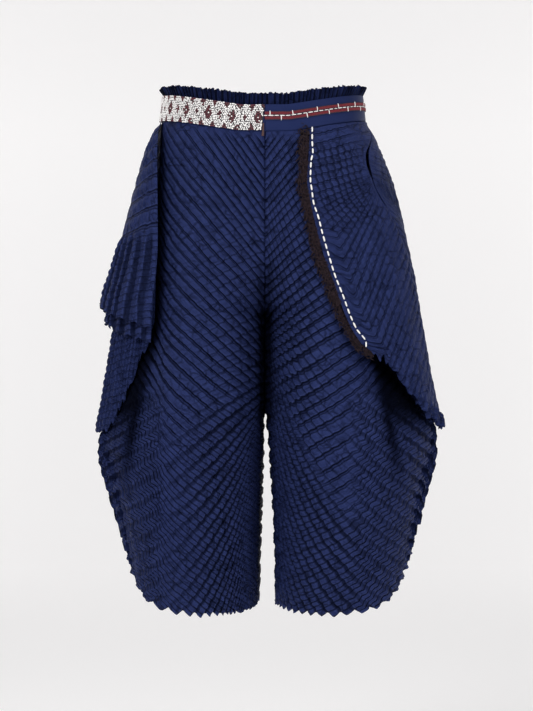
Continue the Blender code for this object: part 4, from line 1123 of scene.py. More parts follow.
def overlay_cloth(name, base, look_x, t, edges, rows, seed):
    """Folds, creases and maps of an overlay panel, and its shell."""
    z = base[..., 2]
    n, along = overlay_folds(look_x, z)
    n = n + 0.10 * np.sin(n * 1.1 + seed) + 0.10 * dents(look_x, z, 0.03, seed)
    across = along / CROSS_PITCH + 0.12 * dents(look_x, z, 0.02, seed + 1)
    gathered = fade(np.abs(along), 0.030)
    flutes = fade(n - 5.0, 4.0)
    row_depth = edges * (0.28 + 0.48 * gathered)
    squares = fade(-0.046 - z, 0.02) * (1 - 0.65 * fade(-0.150 - z, 0.04))
    cross_depth = edges * gathered * squares * (0.66 - 0.30 * flutes)
    n, across = n + 0.05 * zigzag(across), across + 0.10 * zigzag(n)
    rise = (0.0011 + 0.0007 * flutes) * soft_fold(n) * row_depth + 0.0005 * soft_fold(across) * cross_depth
    rise = rise + 0.0008 * dents(look_x, z, 0.016, seed + 2) + 0.0005 * dents(look_x, z, 0.006, seed + 3)
    rise = rise * fade(WAIST - z, 0.02)
    rim_share = fade(t * rows - (rows - 12), 12)
    curl = RUFFLE * np.sin(math.tau * n * 0.5 + 0.8) + SMALL_RUFFLE * np.sin(math.tau * n * 1.5)
    rise = np.minimum(rise + rim_share * curl * edges, RUFFLE_CAP)
    maps = pleat_maps(z.shape, (n, across), (row_depth, cross_depth), (look_x + seed, z))
    return shell(name, base, rise, SHEET, maps, navy_pleats, OVERLAY_MIDDLE)


def left_angle(height):
    """The front panel's angle at the fringe, and below it where the hem begins."""
    return np.where(height > FRINGE_END, fringed_angle(height), HEM_START)


def overlay_front(rows, columns):
    """The panel from the fringe to the slit. Its cross folds turn back in a chevron beside the fringe."""
    hem_angle = np.linspace(HEM_START, 90, 800)
    hem_height = straight(OVERLAY_HEM, hem_angle)
    left = left_angle(hem_height)
    share_at = (hem_angle - left) / (split_angle(hem_height) - left)
    t, share = shares(rows, columns)
    bottom = np.interp(share, share_at, hem_height)
    wobble = 0.0052 * zigzag(share * 14.5 + 0.12 * np.sin(share * 40)) + 0.0016 * np.sin(share * 61 + 1)
    bottom = bottom + wobble * fade(share, 0.05) * fade(1 - share, 0.05)
    height = WAIST + (bottom - WAIST) * t
    left = left_angle(height)
    angle = left + (split_angle(height) - left) * share
    base = overlay(FRONT, angle, height)
    edges = np.maximum(fade((angle - left) * 0.0024, 0.016) * fade(1 - share, 0.06), 0.25)
    look_x = plain_x = sideways(partial(overlay, FRONT))(angle, height)
    turned = FRINGED_EDGE(np.clip(base[..., 2], FRINGE_END, 0)) + CHEVRON
    over = (turned + 0.003 * dents(look_x, base[..., 2], 0.02, 51) - look_x) / CORNER
    turned_back = 1.5 * CORNER * (np.maximum(over, 0) + np.log1p(np.exp(-np.abs(over))))
    look_x = look_x + turned_back * fade(-0.168 - base[..., 2], 0.02)
    shallow = 1 - 0.40 * fade(turned - plain_x, 0.010) * fade(-0.130 - base[..., 2], 0.04)
    return overlay_cloth("hip_overlay_front", base, look_x, t, edges * shallow, rows, 23)


def overlay_back(rows, columns):
    """The panel from the slit round the hip, whose folds mirror the front panel's."""
    t, share = shares(rows, columns)
    bottom = straight(OVERLAY_BACK_HEM, share)
    bottom = bottom + (0.0016 * np.sin(share * 96) + 0.0012 * np.sin(share * 51)) * fade(share, 0.04)
    height = WAIST + (bottom - WAIST) * t
    start = SPLIT_ANGLE(height) + np.degrees(0.0014 / (OVERLAY_SIDE(height) - 0.03))
    turn = start + share * (BACK_END - start)
    front_turn, back_turn = np.minimum(turn, 90), np.minimum(180 - turn, 90)
    near, far = overlay(FRONT, front_turn, height), overlay(BACK, back_turn, height)
    base = np.where((turn <= 90)[..., None], near, far)
    look_front, look_back = (sideways(partial(overlay, half)) for half in (FRONT, BACK))
    at_slit, at_side = look_front(start, height), look_front(90.0, height)
    round_back = look_back(90.0, height) - look_back(back_turn, height)
    beyond = np.where(turn <= 90, look_front(front_turn, height), at_side + round_back) - at_slit
    edges = fade(share, 0.04) * fade(1 - share, 0.04)
    return overlay_cloth("hip_overlay_back", base, at_slit - beyond, t, edges, rows, 41)


overlays = {
    "left_overlay_front": overlay_front(cells(196), cells(156)),
    "left_overlay_back": overlay_back(cells(128), cells(116)),
}

# %% [markdown]
# ## The gathered heading
# Above the band the cloth stands up in tight gathers with a raw, ragged edge. It is one ring. Each
# gather is a small wave that opens upwards, no two alike, and the top row of points is lifted and
# dropped by random amounts for the frayed edge.

# %% Heading
HEADING_TOP, HEADING_FLARE, GATHERS = 0.0330, 0.0045, 117
# The same navy satin as the legs, in much darker colours: painted shade over the whole heading.
navy_heading_painted_shade = pleated_finish(
    "navy_frill_cloth", (0.0052, 0.0088, 0.0400, 1), (0.0002, 0.0003, 0.0014, 1), (0.0170, 0.0270, 0.0950, 1)
)


def back_band(angle, height):
    """The whole back of the band, its angle from -90 at the right side to 90 at the left."""
    side = np.where(angle < 0, RIGHT, LEFT)
    reach = np.where(angle < 0, BODY["side_right"](height), BODY["side_left"](height))
    y = BODY["back"](height) * np.cos(np.radians(angle)) + SEAM_HALF_GAP
    return np.stack([side * reach * np.sin(np.radians(np.abs(angle))), y, height], axis=-1)


def waist_ring(count):
    """Points round the top of the waistband from the middle of the back, and their outward directions."""
    turns, top = np.linspace(-90, 90, 241), np.full(241, BAND_HALF)
    back, left, right = back_band(turns, top), body(LEFT, FRONT, turns, top), body(RIGHT, FRONT, turns, top)
    path = np.concatenate([back[120:-1], left[::-1][:-1], right[:-1], back[:121]])
    place = spaced(path, count + 1)[:-1]
    spot = np.stack([np.interp(place, np.arange(len(path)), path[:, k]) for k in range(3)], axis=-1)[None]
    ahead = np.roll(spot, -6, axis=1) - np.roll(spot, 6, axis=1)
    out = np.stack([-ahead[..., 1], ahead[..., 0], 0 * ahead[..., 0]], axis=-1)
    return spot, unit(out)


def heading(rows, columns):
    """The gathered ring of cloth above the band."""
    spot, out = waist_ring(columns)
    turn = math.tau * (np.arange(columns) / columns)[None, :]
    up = np.linspace(0, 1, rows + 1)[:, None]
    chance = np.random.default_rng(8)
    gather = turn / math.tau * GATHERS
    gather = gather + 0.30 * np.sin(turn * 9 + 1) + 0.22 * np.sin(turn * 23 + 2)
    size = 0.75 + 0.45 * dents(gather, 0 * gather, 1.7, 12)
    depth = (0.0008 + 0.0026 * up) * size
    wave = depth * np.sin(math.tau * gather + 0.9 * up * np.sin(gather))
    wave = wave + 0.0006 * up * np.sin(2 * math.tau * gather)
    ragged = 0.0013 * dents(gather, 0 * gather, 0.33, 5) + 0.0009 * chance.uniform(-1, 1, turn.shape)
    tall = (HEADING_TOP - BAND_HALF) * (1 - 0.24 * np.abs(spot[..., 0] / 0.14) ** 3)
    z = 0.0001 + tall * up + ragged * up**3
    base = spot + out * (HEADING_FLARE * up)[..., None]
    base[..., 2] = spot[..., 2] + z
    # Painted shade at the foot of the heading, darkest beside the band, is the fourth map's second number.
    maps = pleat_maps(
        z.shape, (gather - 0.42, 0), (0.9, 0), (turn * 0.12, z), (0, 0.35 * (1 - up) ** 2), (0, 0.9)
    )
    return shell("waist_frill", base, wave, 0.0005, maps, navy_heading_painted_shade, ring=True)


frill = heading(14, cells(1170))

# %% [markdown]
# ## The waistband
# A flat band of smooth satin, stitched down along both edges, in three pieces that butt at the fly and
# the sides. It hardly folds, so a fine grid with a shallow groove beside each edge is enough. The
# groove is where the topstitching pulls the cloth in.

# %% Waistband
BAND_RISE, BAND_GROOVE = 0.0012, 0.00045
band_satin = Finish("navy_band_satin", **SATIN)
band_plane = band_satin.vector(*band_satin.map("cloth"))
band_weave = band_satin.noise(band_satin.stretched(band_plane, (2400.0, 800.0, 1.0)), 1.0, 2.0)
band_cloud = band_satin.noise(band_plane, 60.0, 3.0)
navy_band = band_satin.finish(
    band_satin.mix(band_cloud * 0.7, (0.0115, 0.0180, 0.0640, 1), (0.0150, 0.0230, 0.0800, 1)),
    0.42 + band_cloud * 0.14, band_weave * 0.3 + band_cloud * 0.7, relief=0.0003, strength=0.5,
)


def band_piece(name, surface, columns, middle, half):
    """A piece of the band, with a groove beside each edge."""
    heights = np.linspace(BAND_HALF, WAIST + 0.0001, 25)
    base = surface(*np.meshgrid(np.linspace(-90, 90, columns), heights))
    edge = np.minimum(BAND_HALF - np.abs(heights), 0.01)[:, None]
    groove = -BAND_GROOVE * bell(edge - 0.0021, 0.0006) - 0.0003 * np.exp(-edge / 0.0004)
    length = lengths_along(base[0])[None, :]
    rise = BAND_RISE + groove + 0.00012 * dents(length, heights[:, None] + 0.3, 0.010, 31)
    maps = {"cloth": pair(length, heights[:, None])}
    return shell(name, base, rise, BAND_RISE, maps, navy_band, middle, keep_inside=partial(closed, half=half))


bands = {
    "waistband_front_right": band_piece("band_front_right", partial(body, RIGHT, FRONT), 129, -0.03, FRONT),
    "waistband_front_left": band_piece("band_front_left", partial(body, LEFT, FRONT), 129, 0.03, FRONT),
    "waistband_back": band_piece("band_back", back_band, 193, 0.0, BACK),
}

# %% [markdown]
# ## Small things that repeat
# Beads, stitches and frayed threads are the same small shape hundreds of times. Geometry Nodes plant
# them: one tree puts a shape on every point of a mesh, the other walks along a path at a steady pitch.
# Both turn the shape to the surface's outward direction, vary its size from a fixed seed, and end in
# real mesh with a material, because instances don't survive an export.

# %% Planting trees
class Recipe(Bench):
    """A Geometry Nodes tree with named inputs, built step by step."""

    def __init__(self, name, inputs):
        super().__init__(bpy.data.node_groups.new(name, "GeometryNodeTree"))
        face = self.tree.interface
        face.new_socket("Geometry", in_out="INPUT", socket_type="NodeSocketGeometry")
        for title, kind in inputs:
            face.new_socket(title, in_out="INPUT", socket_type=kind)
        face.new_socket("Geometry", in_out="OUTPUT", socket_type="NodeSocketGeometry")
        self.given = self.add("NodeGroupInput")
        sockets = [item for item in face.items_tree if item.item_type == "SOCKET"]
        self.ids = {item.name: item.identifier for item in sockets if item.in_out == "INPUT"}

    def attribute(self, name):
        inputs = {"Name": name}
        return self.add("GeometryNodeInputNamedAttribute", inputs, data_type="FLOAT_VECTOR")["Attribute"]

    def plant(self, points, onward):
        """Puts the piece on the points, turned outwards, each a little different, and makes it real."""
        given, add = self.given, self.add
        facing = add("FunctionNodeAlignRotationToVector", {"Vector": self.attribute("outward")}, axis="Z")
        turned = add(
            "FunctionNodeAlignRotationToVector", {"Rotation": facing["Rotation"], "Vector": onward},
            axis="X", pivot_axis="Z",
        )["Rotation"]
        shape = add("GeometryNodeObjectInfo", {"Object": given["Piece"]})["Geometry"]
        limits = {2: 1 - given["Unevenness"], 3: 1 + given["Unevenness"], "Seed": given["Seed"]}
        scale = add("FunctionNodeRandomValue", limits, data_type="FLOAT")[1] * given["Size"]
        limits = {0: (-1, -1, -1), 1: (1, 1, 1), "Seed": given["Seed"] + 1}
        chance = add("FunctionNodeRandomValue", limits, data_type="FLOAT_VECTOR")[0]
        swing = add("ShaderNodeVectorMath", {0: chance, 1: given["Swing"]}, operation="MULTIPLY")[0]
        swing = add("FunctionNodeEulerToRotation", {0: swing})[0]
        turns = {"Rotation": turned, "Rotate By": swing}
        turned = add("FunctionNodeRotateRotation", turns, rotation_space="LOCAL")["Rotation"]
        placing = {"Points": points, "Instance": shape, "Rotation": turned, "Scale": scale}
        planted = add("GeometryNodeInstanceOnPoints", placing)["Instances"]
        real = add("GeometryNodeRealizeInstances", {"Geometry": planted})["Geometry"]
        smooth = add("GeometryNodeSetShadeSmooth", {"Geometry": real})["Geometry"]
        done = add("GeometryNodeSetMaterial", {"Geometry": smooth, "Material": given["Finish"]})["Geometry"]
        add("NodeGroupOutput", {"Geometry": done})


INPUTS = [
    ("Piece", "NodeSocketObject"),
    ("Size", "NodeSocketFloat"),
    ("Unevenness", "NodeSocketFloat"),
    ("Seed", "NodeSocketInt"),
    ("Swing", "NodeSocketVector"),
    ("Finish", "NodeSocketMaterial"),
]

on_points = Recipe("plant_on_points", INPUTS)
on_points.plant(on_points.given["Geometry"], on_points.attribute("onward"))

along_path = Recipe("plant_along_path", INPUTS + [("Pitch", "NodeSocketFloat")])
path_curve = along_path.add("GeometryNodeMeshToCurve", {"Mesh": along_path.given["Geometry"]})["Curve"]
path_steps = along_path.add(
    "GeometryNodeCurveToPoints", {"Curve": path_curve, "Length": along_path.given["Pitch"]}, mode="LENGTH"
)
along_path.plant(path_steps["Points"], path_steps["Tangent"])


def planted(name, recipe, points, edges, outward, onward, piece, **given):
    """Runs a tree on some points, and returns the result as a plain mesh object."""
    mesh = bpy.data.meshes.new(name + "_guide")
    mesh.from_pydata(np.asarray(points).tolist(), edges, [])
    for key, values in (("outward", outward), ("onward", onward)):
        if values is not None:
            layer = mesh.attributes.new(key, "FLOAT_VECTOR", "POINT")
            layer.data.foreach_set("vector", np.asarray(values, np.float32).ravel())
    guide = link(bpy.data.objects.new(name + "_guide", mesh))
    modifier = guide.modifiers.new("Plant", "NODES")
    modifier.node_group = recipe.tree
    modifier[recipe.ids["Piece"]] = piece
    for key, value in given.items():
        modifier[recipe.ids[key]] = value
    evaluated = guide.evaluated_get(bpy.context.evaluated_depsgraph_get())
    result = bpy.data.meshes.new_from_object(evaluated)
    result.name = name
    bpy.data.objects.remove(guide)
    result.materials.clear()
    result.materials.append(given["Finish"])
    result.polygons.foreach_set("material_index", np.zeros(len(result.polygons), np.int32))
    made = link(bpy.data.objects.new(name, result))
    triangles = sum(len(face.vertices) - 2 for face in result.polygons)
    print(f"{name}: {len(points)} guide points, {triangles} triangles")
    return made


def chain(count):
    """The edges of a path of points."""
    return [(i, i + 1) for i in range(count - 1)]


def from_bmesh(name, bm, recalculate=True):
    """A plain object with a bmesh's faces. The bmesh is freed."""
    if recalculate:
        bmesh.ops.recalc_face_normals(bm, faces=bm.faces)
    mesh = bpy.data.meshes.new(name)
    bm.to_mesh(mesh)
    bm.free()
    return bpy.data.objects.new(name, mesh)


def lathe_shape(name, rings, sides):
    """A small closed round shape from (radius, height) rings between two poles."""
    bm = bmesh.new()
    rows = []
    for radius, height in rings[1:-1]:
        turns = [math.tau * k / sides for k in range(sides)]
        rows.append([bm.verts.new((radius * math.cos(a), radius * math.sin(a), height)) for a in turns])
    low, high = bm.verts.new((0, 0, rings[0][1])), bm.verts.new((0, 0, rings[-1][1]))
    for k in range(sides):
        j = (k + 1) % sides
        bm.faces.new((low, rows[0][j], rows[0][k]))
        bm.faces.new((high, rows[-1][k], rows[-1][j]))
        for a, b in zip(rows, rows[1:]):
            bm.faces.new((a[k], a[j], b[j], b[k]))
    return from_bmesh(name, bm)


def dash_shape(name, length, width, height):
    """A stitch: a short rounded bar of thread that dives into the cloth at both ends."""
    rings = ((0, -0.5), (0.30, -0.46), (0.5, -0.25), (0.5, 0.25), (0.30, 0.46), (0, 0.5))
    shape = lathe_shape(name, rings, 8)
    for v in shape.data.vertices:
        x, y, z = v.co
        arch = (1 - (2 * z) ** 2) * 0.35
        v.co = (z * length, y * width, (x + arch - 0.15) * height)
    bm = bmesh.new()
    bm.from_mesh(shape.data)
    bmesh.ops.recalc_face_normals(bm, faces=bm.faces)
    bm.to_mesh(shape.data)
    bm.free()
    return shape


# %% [markdown]
# ## The beaded strip
# The right half of the band is covered by hundreds of small glass beads, sewn on one by one over a
# woven strip. They sit in rough rows with dark gaps between them. Dark red beads draw a plain border of
# lozenges with triangles between them, a common beadwork figure. We jitter a grid of points on the
# band, sort them into white and red by a drawing rule, and plant a bead on each.

# %% Beads
BAND_FACE = BAND_RISE + 0.0004
BEAD_LIFT, BEAD_PITCH = BAND_FACE + 0.0008, 0.00235
BEAD_START, BEAD_END, BEAD_SLANT = -84, 89, 24
BEAD_ROWS, BEAD_REACH = 15, 0.0166
MARK_PITCH = 0.0170
strip_backing = speckled(
    "bead_backing_cloth", [900.0], (0.006, 0.005, 0.007, 1), (0.034, 0.029, 0.033, 1), grain=1500.0,
    Roughness=0.8,
)
glass_white = speckled(
    "white_glass_beads", [420.0], (0.95, 0.94, 0.93, 1), (0.82, 0.80, 0.79, 1), gloss=0.24,
    Specular_IOR_Level=0.6, Coat_Weight=0.25,
)
glass_red = speckled(
    "dark_red_glass_beads", [420.0], (0.060, 0.010, 0.018, 1), (0.16, 0.018, 0.030, 1), gloss=0.26,
    Specular_IOR_Level=0.6,
)


def facing_out(normals):
    """Unit directions, turned round where they point to the back."""
    out = unit(normals)
    return np.where(out[..., 1:2] > 0, -out, out)


def on_band(side, angle, height, lift):
    """Points a little off the front band, their outward directions, and the directions along it."""
    point = body(side, FRONT, angle, height)
    along = body(side, FRONT, angle + 0.4, height) - body(side, FRONT, angle - 0.4, height)
    out = facing_out(np.stack([-along[..., 1], along[..., 0], 0 * along[..., 0]], axis=-1))
    return point + out * lift, out, unit(along)


def band_angles(side, step, start, end):
    """Angles from start to end at equal steps of cloth, and the lengths of cloth up to them."""
    angle = np.linspace(start, end, 600)
    length = lengths_along(body(side, FRONT, angle, 0.0))
    stops = np.arange(0, length[-1], step)
    return np.interp(stops, length, angle), stops


def bead_mark(u, v):
    """True where a red bead belongs: u runs along the strip in metres, v from -1 to 1 across it."""
    cell = np.floor(u / MARK_PITCH)
    w = np.abs((u / MARK_PITCH - cell) * 2 - 1)
    v = np.abs(v)
    lozenge = (w * 1.15 + v * 1.25 < 0.78) & (w * 1.15 + v * 1.25 > 0.16)
    edge_triangles = (1 - w) * 1.5 + (1.0 - v) * 1.3 < 0.62
    small_lozenge = w * 1.9 + v * 1.9 < 0.60
    return np.where(cell % 2 == 0, lozenge | edge_triangles, small_lozenge | edge_triangles)


def bead_points():
    """A point, an outward and an onward direction for each bead, and which are white and which red."""
    chance = np.random.default_rng(44)
    angles, lengths = band_angles(RIGHT, BEAD_PITCH, BEAD_START, 88.5)
    rows = np.linspace(-BEAD_REACH, BEAD_REACH, BEAD_ROWS)
    angle, height = np.meshgrid(angles, rows)
    shift = (np.arange(BEAD_ROWS) % 2)[:, None] * 0.5
    angle = angle + np.gradient(angles) * (shift + chance.uniform(-0.26, 0.26, angle.shape))
    height = height + chance.uniform(-0.00045, 0.00045, height.shape)
    slant = (BAND_HALF - height) / (2 * BAND_HALF) * BEAD_SLANT
    keep = (angle > BEAD_START + slant + 2.0) & (angle < BEAD_END)
    point, out, along = on_band(RIGHT, angle, height, BEAD_LIFT + 0.0005)
    red = bead_mark(lengths + 0.5 * shift * BEAD_PITCH, height / BEAD_REACH) & keep
    return point, out, along, keep & ~red, red


BEAD_RINGS = ((0, -0.42), (0.34, -0.40), (0.56, -0.14), (0.56, 0.18), (0.32, 0.42), (0, 0.36))
bead = lathe_shape("bead", BEAD_RINGS, 7)
bead_spot, bead_out, bead_along, white_here, red_here = bead_points()
bead_sets = [
    planted(
        title, on_points, bead_spot[here], [], bead_out[here], bead_along[here], bead,
        Size=0.00190, Unevenness=0.14, Seed=7, Finish=glass,
    )
    for title, here, glass in (("beads_white", white_here, glass_white), ("beads_red", red_here, glass_red))
]


def strip_on_band(name, side, start, end, low, high, lift, thickness, finish, slant=0.0):
    """A thin strip that lies on the band between two angles, its first end cut on a slant."""
    heights = np.linspace(high, low, 13)[:, None]
    share = np.linspace(0, 1, 129)[None, :]
    first = start + slant * (high - heights) / (high - low)
    angle = first + (end - first) * share
    point, _, _ = on_band(side, angle, heights, lift)
    maps = {"cloth": pair(share * 0.2, heights)}
    return shell(name, point, np.full(angle.shape, thickness / 2), thickness, maps, finish, side * 0.03)


bead_strip = strip_on_band(
    "bead_strip_backing", RIGHT, BEAD_START, BEAD_END, -0.0176, 0.0176, BAND_FACE + 0.0005, 0.0008,
    strip_backing, BEAD_SLANT,
)

# %% [markdown]
# ## The stitched stripe
# Along the left half of the band runs a narrow braid: two rows of red satin stitches, with a broken
# white line between them and short white ticks that point up and down by turns. Ticks and broken lines
# are everyday embroidery. Each thread is a small rounded bar, planted along a path on the band.

# %% Stripe
thread_white = speckled(
    "white_thread", [1500.0], (0.90, 0.89, 0.87, 1), (0.70, 0.69, 0.68, 1), grain=2600.0,
    Roughness=0.6, Specular_IOR_Level=0.3,
)
thread_red = speckled(
    "red_thread", [900.0], (0.230, 0.016, 0.028, 1), (0.110, 0.008, 0.016, 1), grain=2400.0,
    Roughness=0.55, Specular_IOR_Level=0.35,
)
braid_cloth = speckled(
    "braid_ground", [1200.0], (0.006, 0.005, 0.017, 1), (0.014, 0.008, 0.023, 1), grain=2000.0, Roughness=0.7
)
BRAID_START, BRAID_END, BRAID_LOW, BRAID_HIGH = -85, 89, -0.0033, 0.0085
BRAID_LIFT, BRAID_MIDDLE = BAND_FACE + 0.0004, 0.0026
braid_ground = strip_on_band(
    "braid_ground", LEFT, BRAID_START, BRAID_END, BRAID_LOW, BRAID_HIGH, BRAID_LIFT, 0.0008, braid_cloth
)


def stripe_row(name, height, shape, pitch, finish, seed, unevenness=0.12):
    """A row of stitches along the braid."""
    spot, out, _ = on_band(LEFT, np.linspace(-84, 88.5, 160), height, BRAID_LIFT + 0.0005)
    return planted(
        name, along_path, spot, chain(len(spot)), out, None, shape,
        Size=1.0, Unevenness=unevenness, Seed=seed, Finish=finish, Pitch=pitch,
    )


satin_stitch = dash_shape("satin_stitch", 0.00092, 0.0041, 0.0008)
short_dash = dash_shape("short_dash", 0.0062, 0.0012, 0.0012)
stripe_parts = [
    stripe_row("stripe_red_upper", 0.0058, satin_stitch, 0.00105, thread_red, 3),
    stripe_row("stripe_red_lower", -0.0006, satin_stitch, 0.00105, thread_red, 4),
    stripe_row("stripe_white_line", BRAID_MIDDLE, short_dash, 0.0076, thread_white, 5, unevenness=0.25),
]
# Ticks by length along the stripe in metres, up for 1 and down for -1
TICKS = (
    (0.006, 1), (0.021, -1), (0.037, 1), (0.056, -1), (0.071, 1), (0.088, -1), (0.104, 1), (0.121, -1),
    (0.138, 1), (0.153, -1), (0.170, 1),
)  # fmt: skip
TICK_REACH = 0.0033


def stripe_ticks():
    tick_angles, lengths = band_angles(LEFT, 0.0005, BRAID_START, 88)
    length, way = np.array(TICKS).T
    angle, height = np.interp(length, lengths, tick_angles), BRAID_MIDDLE + way * TICK_REACH
    spot, out, along = on_band(LEFT, angle, height, BRAID_LIFT + 0.0008)
    tick = dash_shape("tick", 0.0066, 0.0013, 0.0013)
    return planted(
        "stripe_ticks", on_points, spot, [], out, np.cross(out, along), tick,
        Size=1.0, Unevenness=0.10, Seed=6, Finish=thread_white,
    )


stripe_parts.append(stripe_ticks())

# %% [markdown]
# ## White running stitches
# A line of bold white stitches follows the overlay's front edge, a few millimetres inside the fringe. The
# path is drawn on the overlay's own surface, so the stitches lie on the cloth from any side.

# %% Running stitches
STITCH_LINE = curve(
    (-0.0360, -0.0550, -0.0697, -0.1000, -0.1188, -0.1362, -0.1577, -0.1792, -0.2034, -0.2344, -0.2626,
     -0.2909, -0.3084, -0.3272),
    (0.0623, 0.0632, 0.0608, 0.0600, 0.0620, 0.0640, 0.0706, 0.0760, 0.0828, 0.0921, 0.1030, 0.1133,
     0.1215, 0.1340),
)  # fmt: skip


def on_overlay(across, height, lift):
    """Points and outward directions on the overlay, a distance out from the middle."""
    middle = BODY["middle"](height)
    angle = np.degrees(np.arcsin(np.clip((across - middle) / (OVERLAY_SIDE(height) - middle), 0, 1)))
    point = overlay(FRONT, angle, height)
    along = overlay(FRONT, angle + 0.5, height) - overlay(FRONT, angle - 0.5, height)
    down = overlay(FRONT, angle, height - 0.001) - overlay(FRONT, angle, height + 0.001)
    out = facing_out(np.cross(along, down))
    return point + out * lift, out


stitch_heights = np.linspace(FRINGE_TOP, -0.3290, 240)
stitch_spots, stitch_out = on_overlay(STITCH_LINE(stitch_heights) + 0.0012, stitch_heights, 0.0024)
running_stitches = planted(
    "running_stitches", along_path, stitch_spots, chain(len(stitch_spots)), stitch_out, None,
    dash_shape("long_stitch", 0.0078, 0.0023, 0.0016),
    Size=1.0, Unevenness=0.06, Seed=2, Finish=thread_white, Pitch=0.0100,
)

# %% [markdown]
# ## The curly fringe
# The overlay's front edge is frayed into a dense brown fringe, half an inch wide, whose threads curl
# over each other. One curl is a thin three-sided tube with a few bends. We make six different curls, three
# of them for the narrow end of the edge, plant each at a close pitch, and let the tree swing every one by
# a random angle. So nearly five hundred threads come from six small shapes. A tape lies under them,
# near black, as painted shade in the gaps between the threads.

# %% Fringe
YARN_LENGTH, YARN_RADIUS = 0.0126, 0.00068
fringe_yarn = speckled(
    "brown_fringe_yarn", [240.0, 3.0], (0.0012, 0.0007, 0.0011, 1), (0.0380, 0.0210, 0.0280, 1), grain=2600.0,
    Roughness=0.8, Specular_IOR_Level=0.2,
)
# The tape is near black: painted shade in the gaps between the threads.
fringe_shadow = speckled(
    "brown_fringe_tape", [400.0], (0.0012, 0.0008, 0.0010, 1), (0.0080, 0.0050, 0.0062, 1),
    Roughness=0.9, Specular_IOR_Level=0.1,
)


def curl_shape(name, seed):
    """One curly thread, from its root at the origin towards -Y."""
    chance = np.random.default_rng(seed)
    s = np.linspace(0, 1, 10)
    a, b, c = chance.uniform(0, math.tau, 3)
    swing = 0.0036 * s**0.6
    x = swing * np.sin(math.tau * (1.7 + chance.uniform(0, 0.8)) * s + a) + 0.16 * YARN_LENGTH * s**2
    y = -YARN_LENGTH * (s + 0.05 * np.sin(math.tau * 2.3 * s + b) - 0.05 * math.sin(b))
    z = 0.0016 * np.sin(math.tau * 2.1 * s + c) * s**0.4 + 0.0006
    line = np.stack([x - x[0], y, z], axis=1)
    ahead = unit(np.gradient(line, axis=0))
    aside = unit(np.cross(ahead, (0, 0, 1.0)))
    above = np.cross(ahead, aside)
    bm = bmesh.new()
    rings = []
    for k in range(len(s)):
        radius = YARN_RADIUS * (1.0 if k < len(s) - 1 else 0.45)
        turns = [math.tau * j / 3 for j in range(3)]
        spots = [line[k] + radius * (math.cos(t) * aside[k] + math.sin(t) * above[k]) for t in turns]
        rings.append([bm.verts.new(spot) for spot in spots])
    bm.faces.new(rings[0])
    bm.faces.new(rings[-1])
    for low, high in zip(rings, rings[1:]):
        for j in range(3):
            bm.faces.new((low[j], low[(j + 1) % 3], high[(j + 1) % 3], high[j]))
    return from_bmesh(name, bm)


def joined(name, pieces, finish):
    """Several plain objects as one, with one material."""
    bm = bmesh.new()
    for piece in pieces:
        bm.from_mesh(piece.data)
        bpy.data.objects.remove(piece)
    whole = link(from_bmesh(name, bm, recalculate=False))
    whole.data.materials.append(finish)
    return whole


curls = []
for k, (size, top, bottom) in enumerate(((1.0, FRINGE_TOP, -0.272), (0.80, -0.262, -0.3410))):
    for j in range(3):
        heights = np.linspace(top - 0.0003 * j, bottom, 200)
        wander = 0.0030 * dents(heights, 0 * heights, 0.010, 60 + j + 3 * k)
        spots, outs = on_overlay(FRINGED_EDGE(heights) - 0.0004 + wander, heights, -0.0012)
        curl = curl_shape(f"curl_{k}{j}", 10 * k + j)
        curls.append(
            planted(
                f"curls_{k}{j}", along_path, spots, chain(len(spots)), outs, None, curl,
                Size=size, Unevenness=0.34, Seed=11 + j, Finish=fringe_yarn, Pitch=0.00220,
                Swing=(0.14, 0.20, 0.60),
            )
        )
fringe_curls = joined("fringe_curls", curls, fringe_yarn)
tape_heights = np.linspace(FRINGE_TOP, -0.3405, 201)[:, None]
tape_across = FRINGED_EDGE(tape_heights) + np.linspace(-0.0014, 0.0012, 9)[None, :]
tape_spots, _ = on_overlay(tape_across, tape_heights, -0.0022)
fringe_tape = shell(
    "fringe_tape", tape_spots, np.full(tape_across.shape, 0.0004), 0.0006,
    {"cloth": pair(tape_across, tape_heights)}, fringe_shadow, 0.03,
)

# %% [markdown]
# ## The small tab
# A dark red-brown leather tab hangs at the fly beside the beads. Its CAD solid already has the right
# shape, so it stays, and only gets a leather material with fine grain.

# %% Tab leather
tab_leather = Finish("brown_tab_leather", Specular_IOR_Level=0.5)
tab_place = tab_leather.place()
tab_grain = tab_leather.noise(tab_place, 1400.0, 4.0)
tab_cloud = tab_leather.noise(tab_place, 300.0, 2.0)
tab_leather.finish(
    tab_leather.mix(tab_cloud * 0.7 + tab_grain * 0.3, (0.026, 0.007, 0.008, 1), (0.060, 0.017, 0.015, 1)),
    0.38 + tab_grain * 0.2, tab_grain, relief=0.0002, strength=0.7,
)
for slot in frame["nodes"]["closure_tab"].material_slots:
    slot.material = tab_leather.material

# %% [markdown]
# ## Who rides on what, and the cut of each cloth
# Every new piece rides on the garment's one body and stands for its CAD node. Each cloth's cut is
# listed with the size that it was cut to. A pleated panel is cut wider than it hangs, so its flat area is the
# surface of what hangs, opened out by the share that the steamed folds take up.

# %% Wearing the pieces, and their cuts
def cloth_area(piece):
    """Half the surface of a thin closed piece: the area of its cloth."""
    return sum(face.area for face in piece.data.polygons) / 2


def wear(piece, slot, *nodes):
    """Puts a piece on the garment's one body, in place of CAD nodes, which it hides. The slot is not used."""
    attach(piece, "root")
    if nodes:
        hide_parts(*nodes)


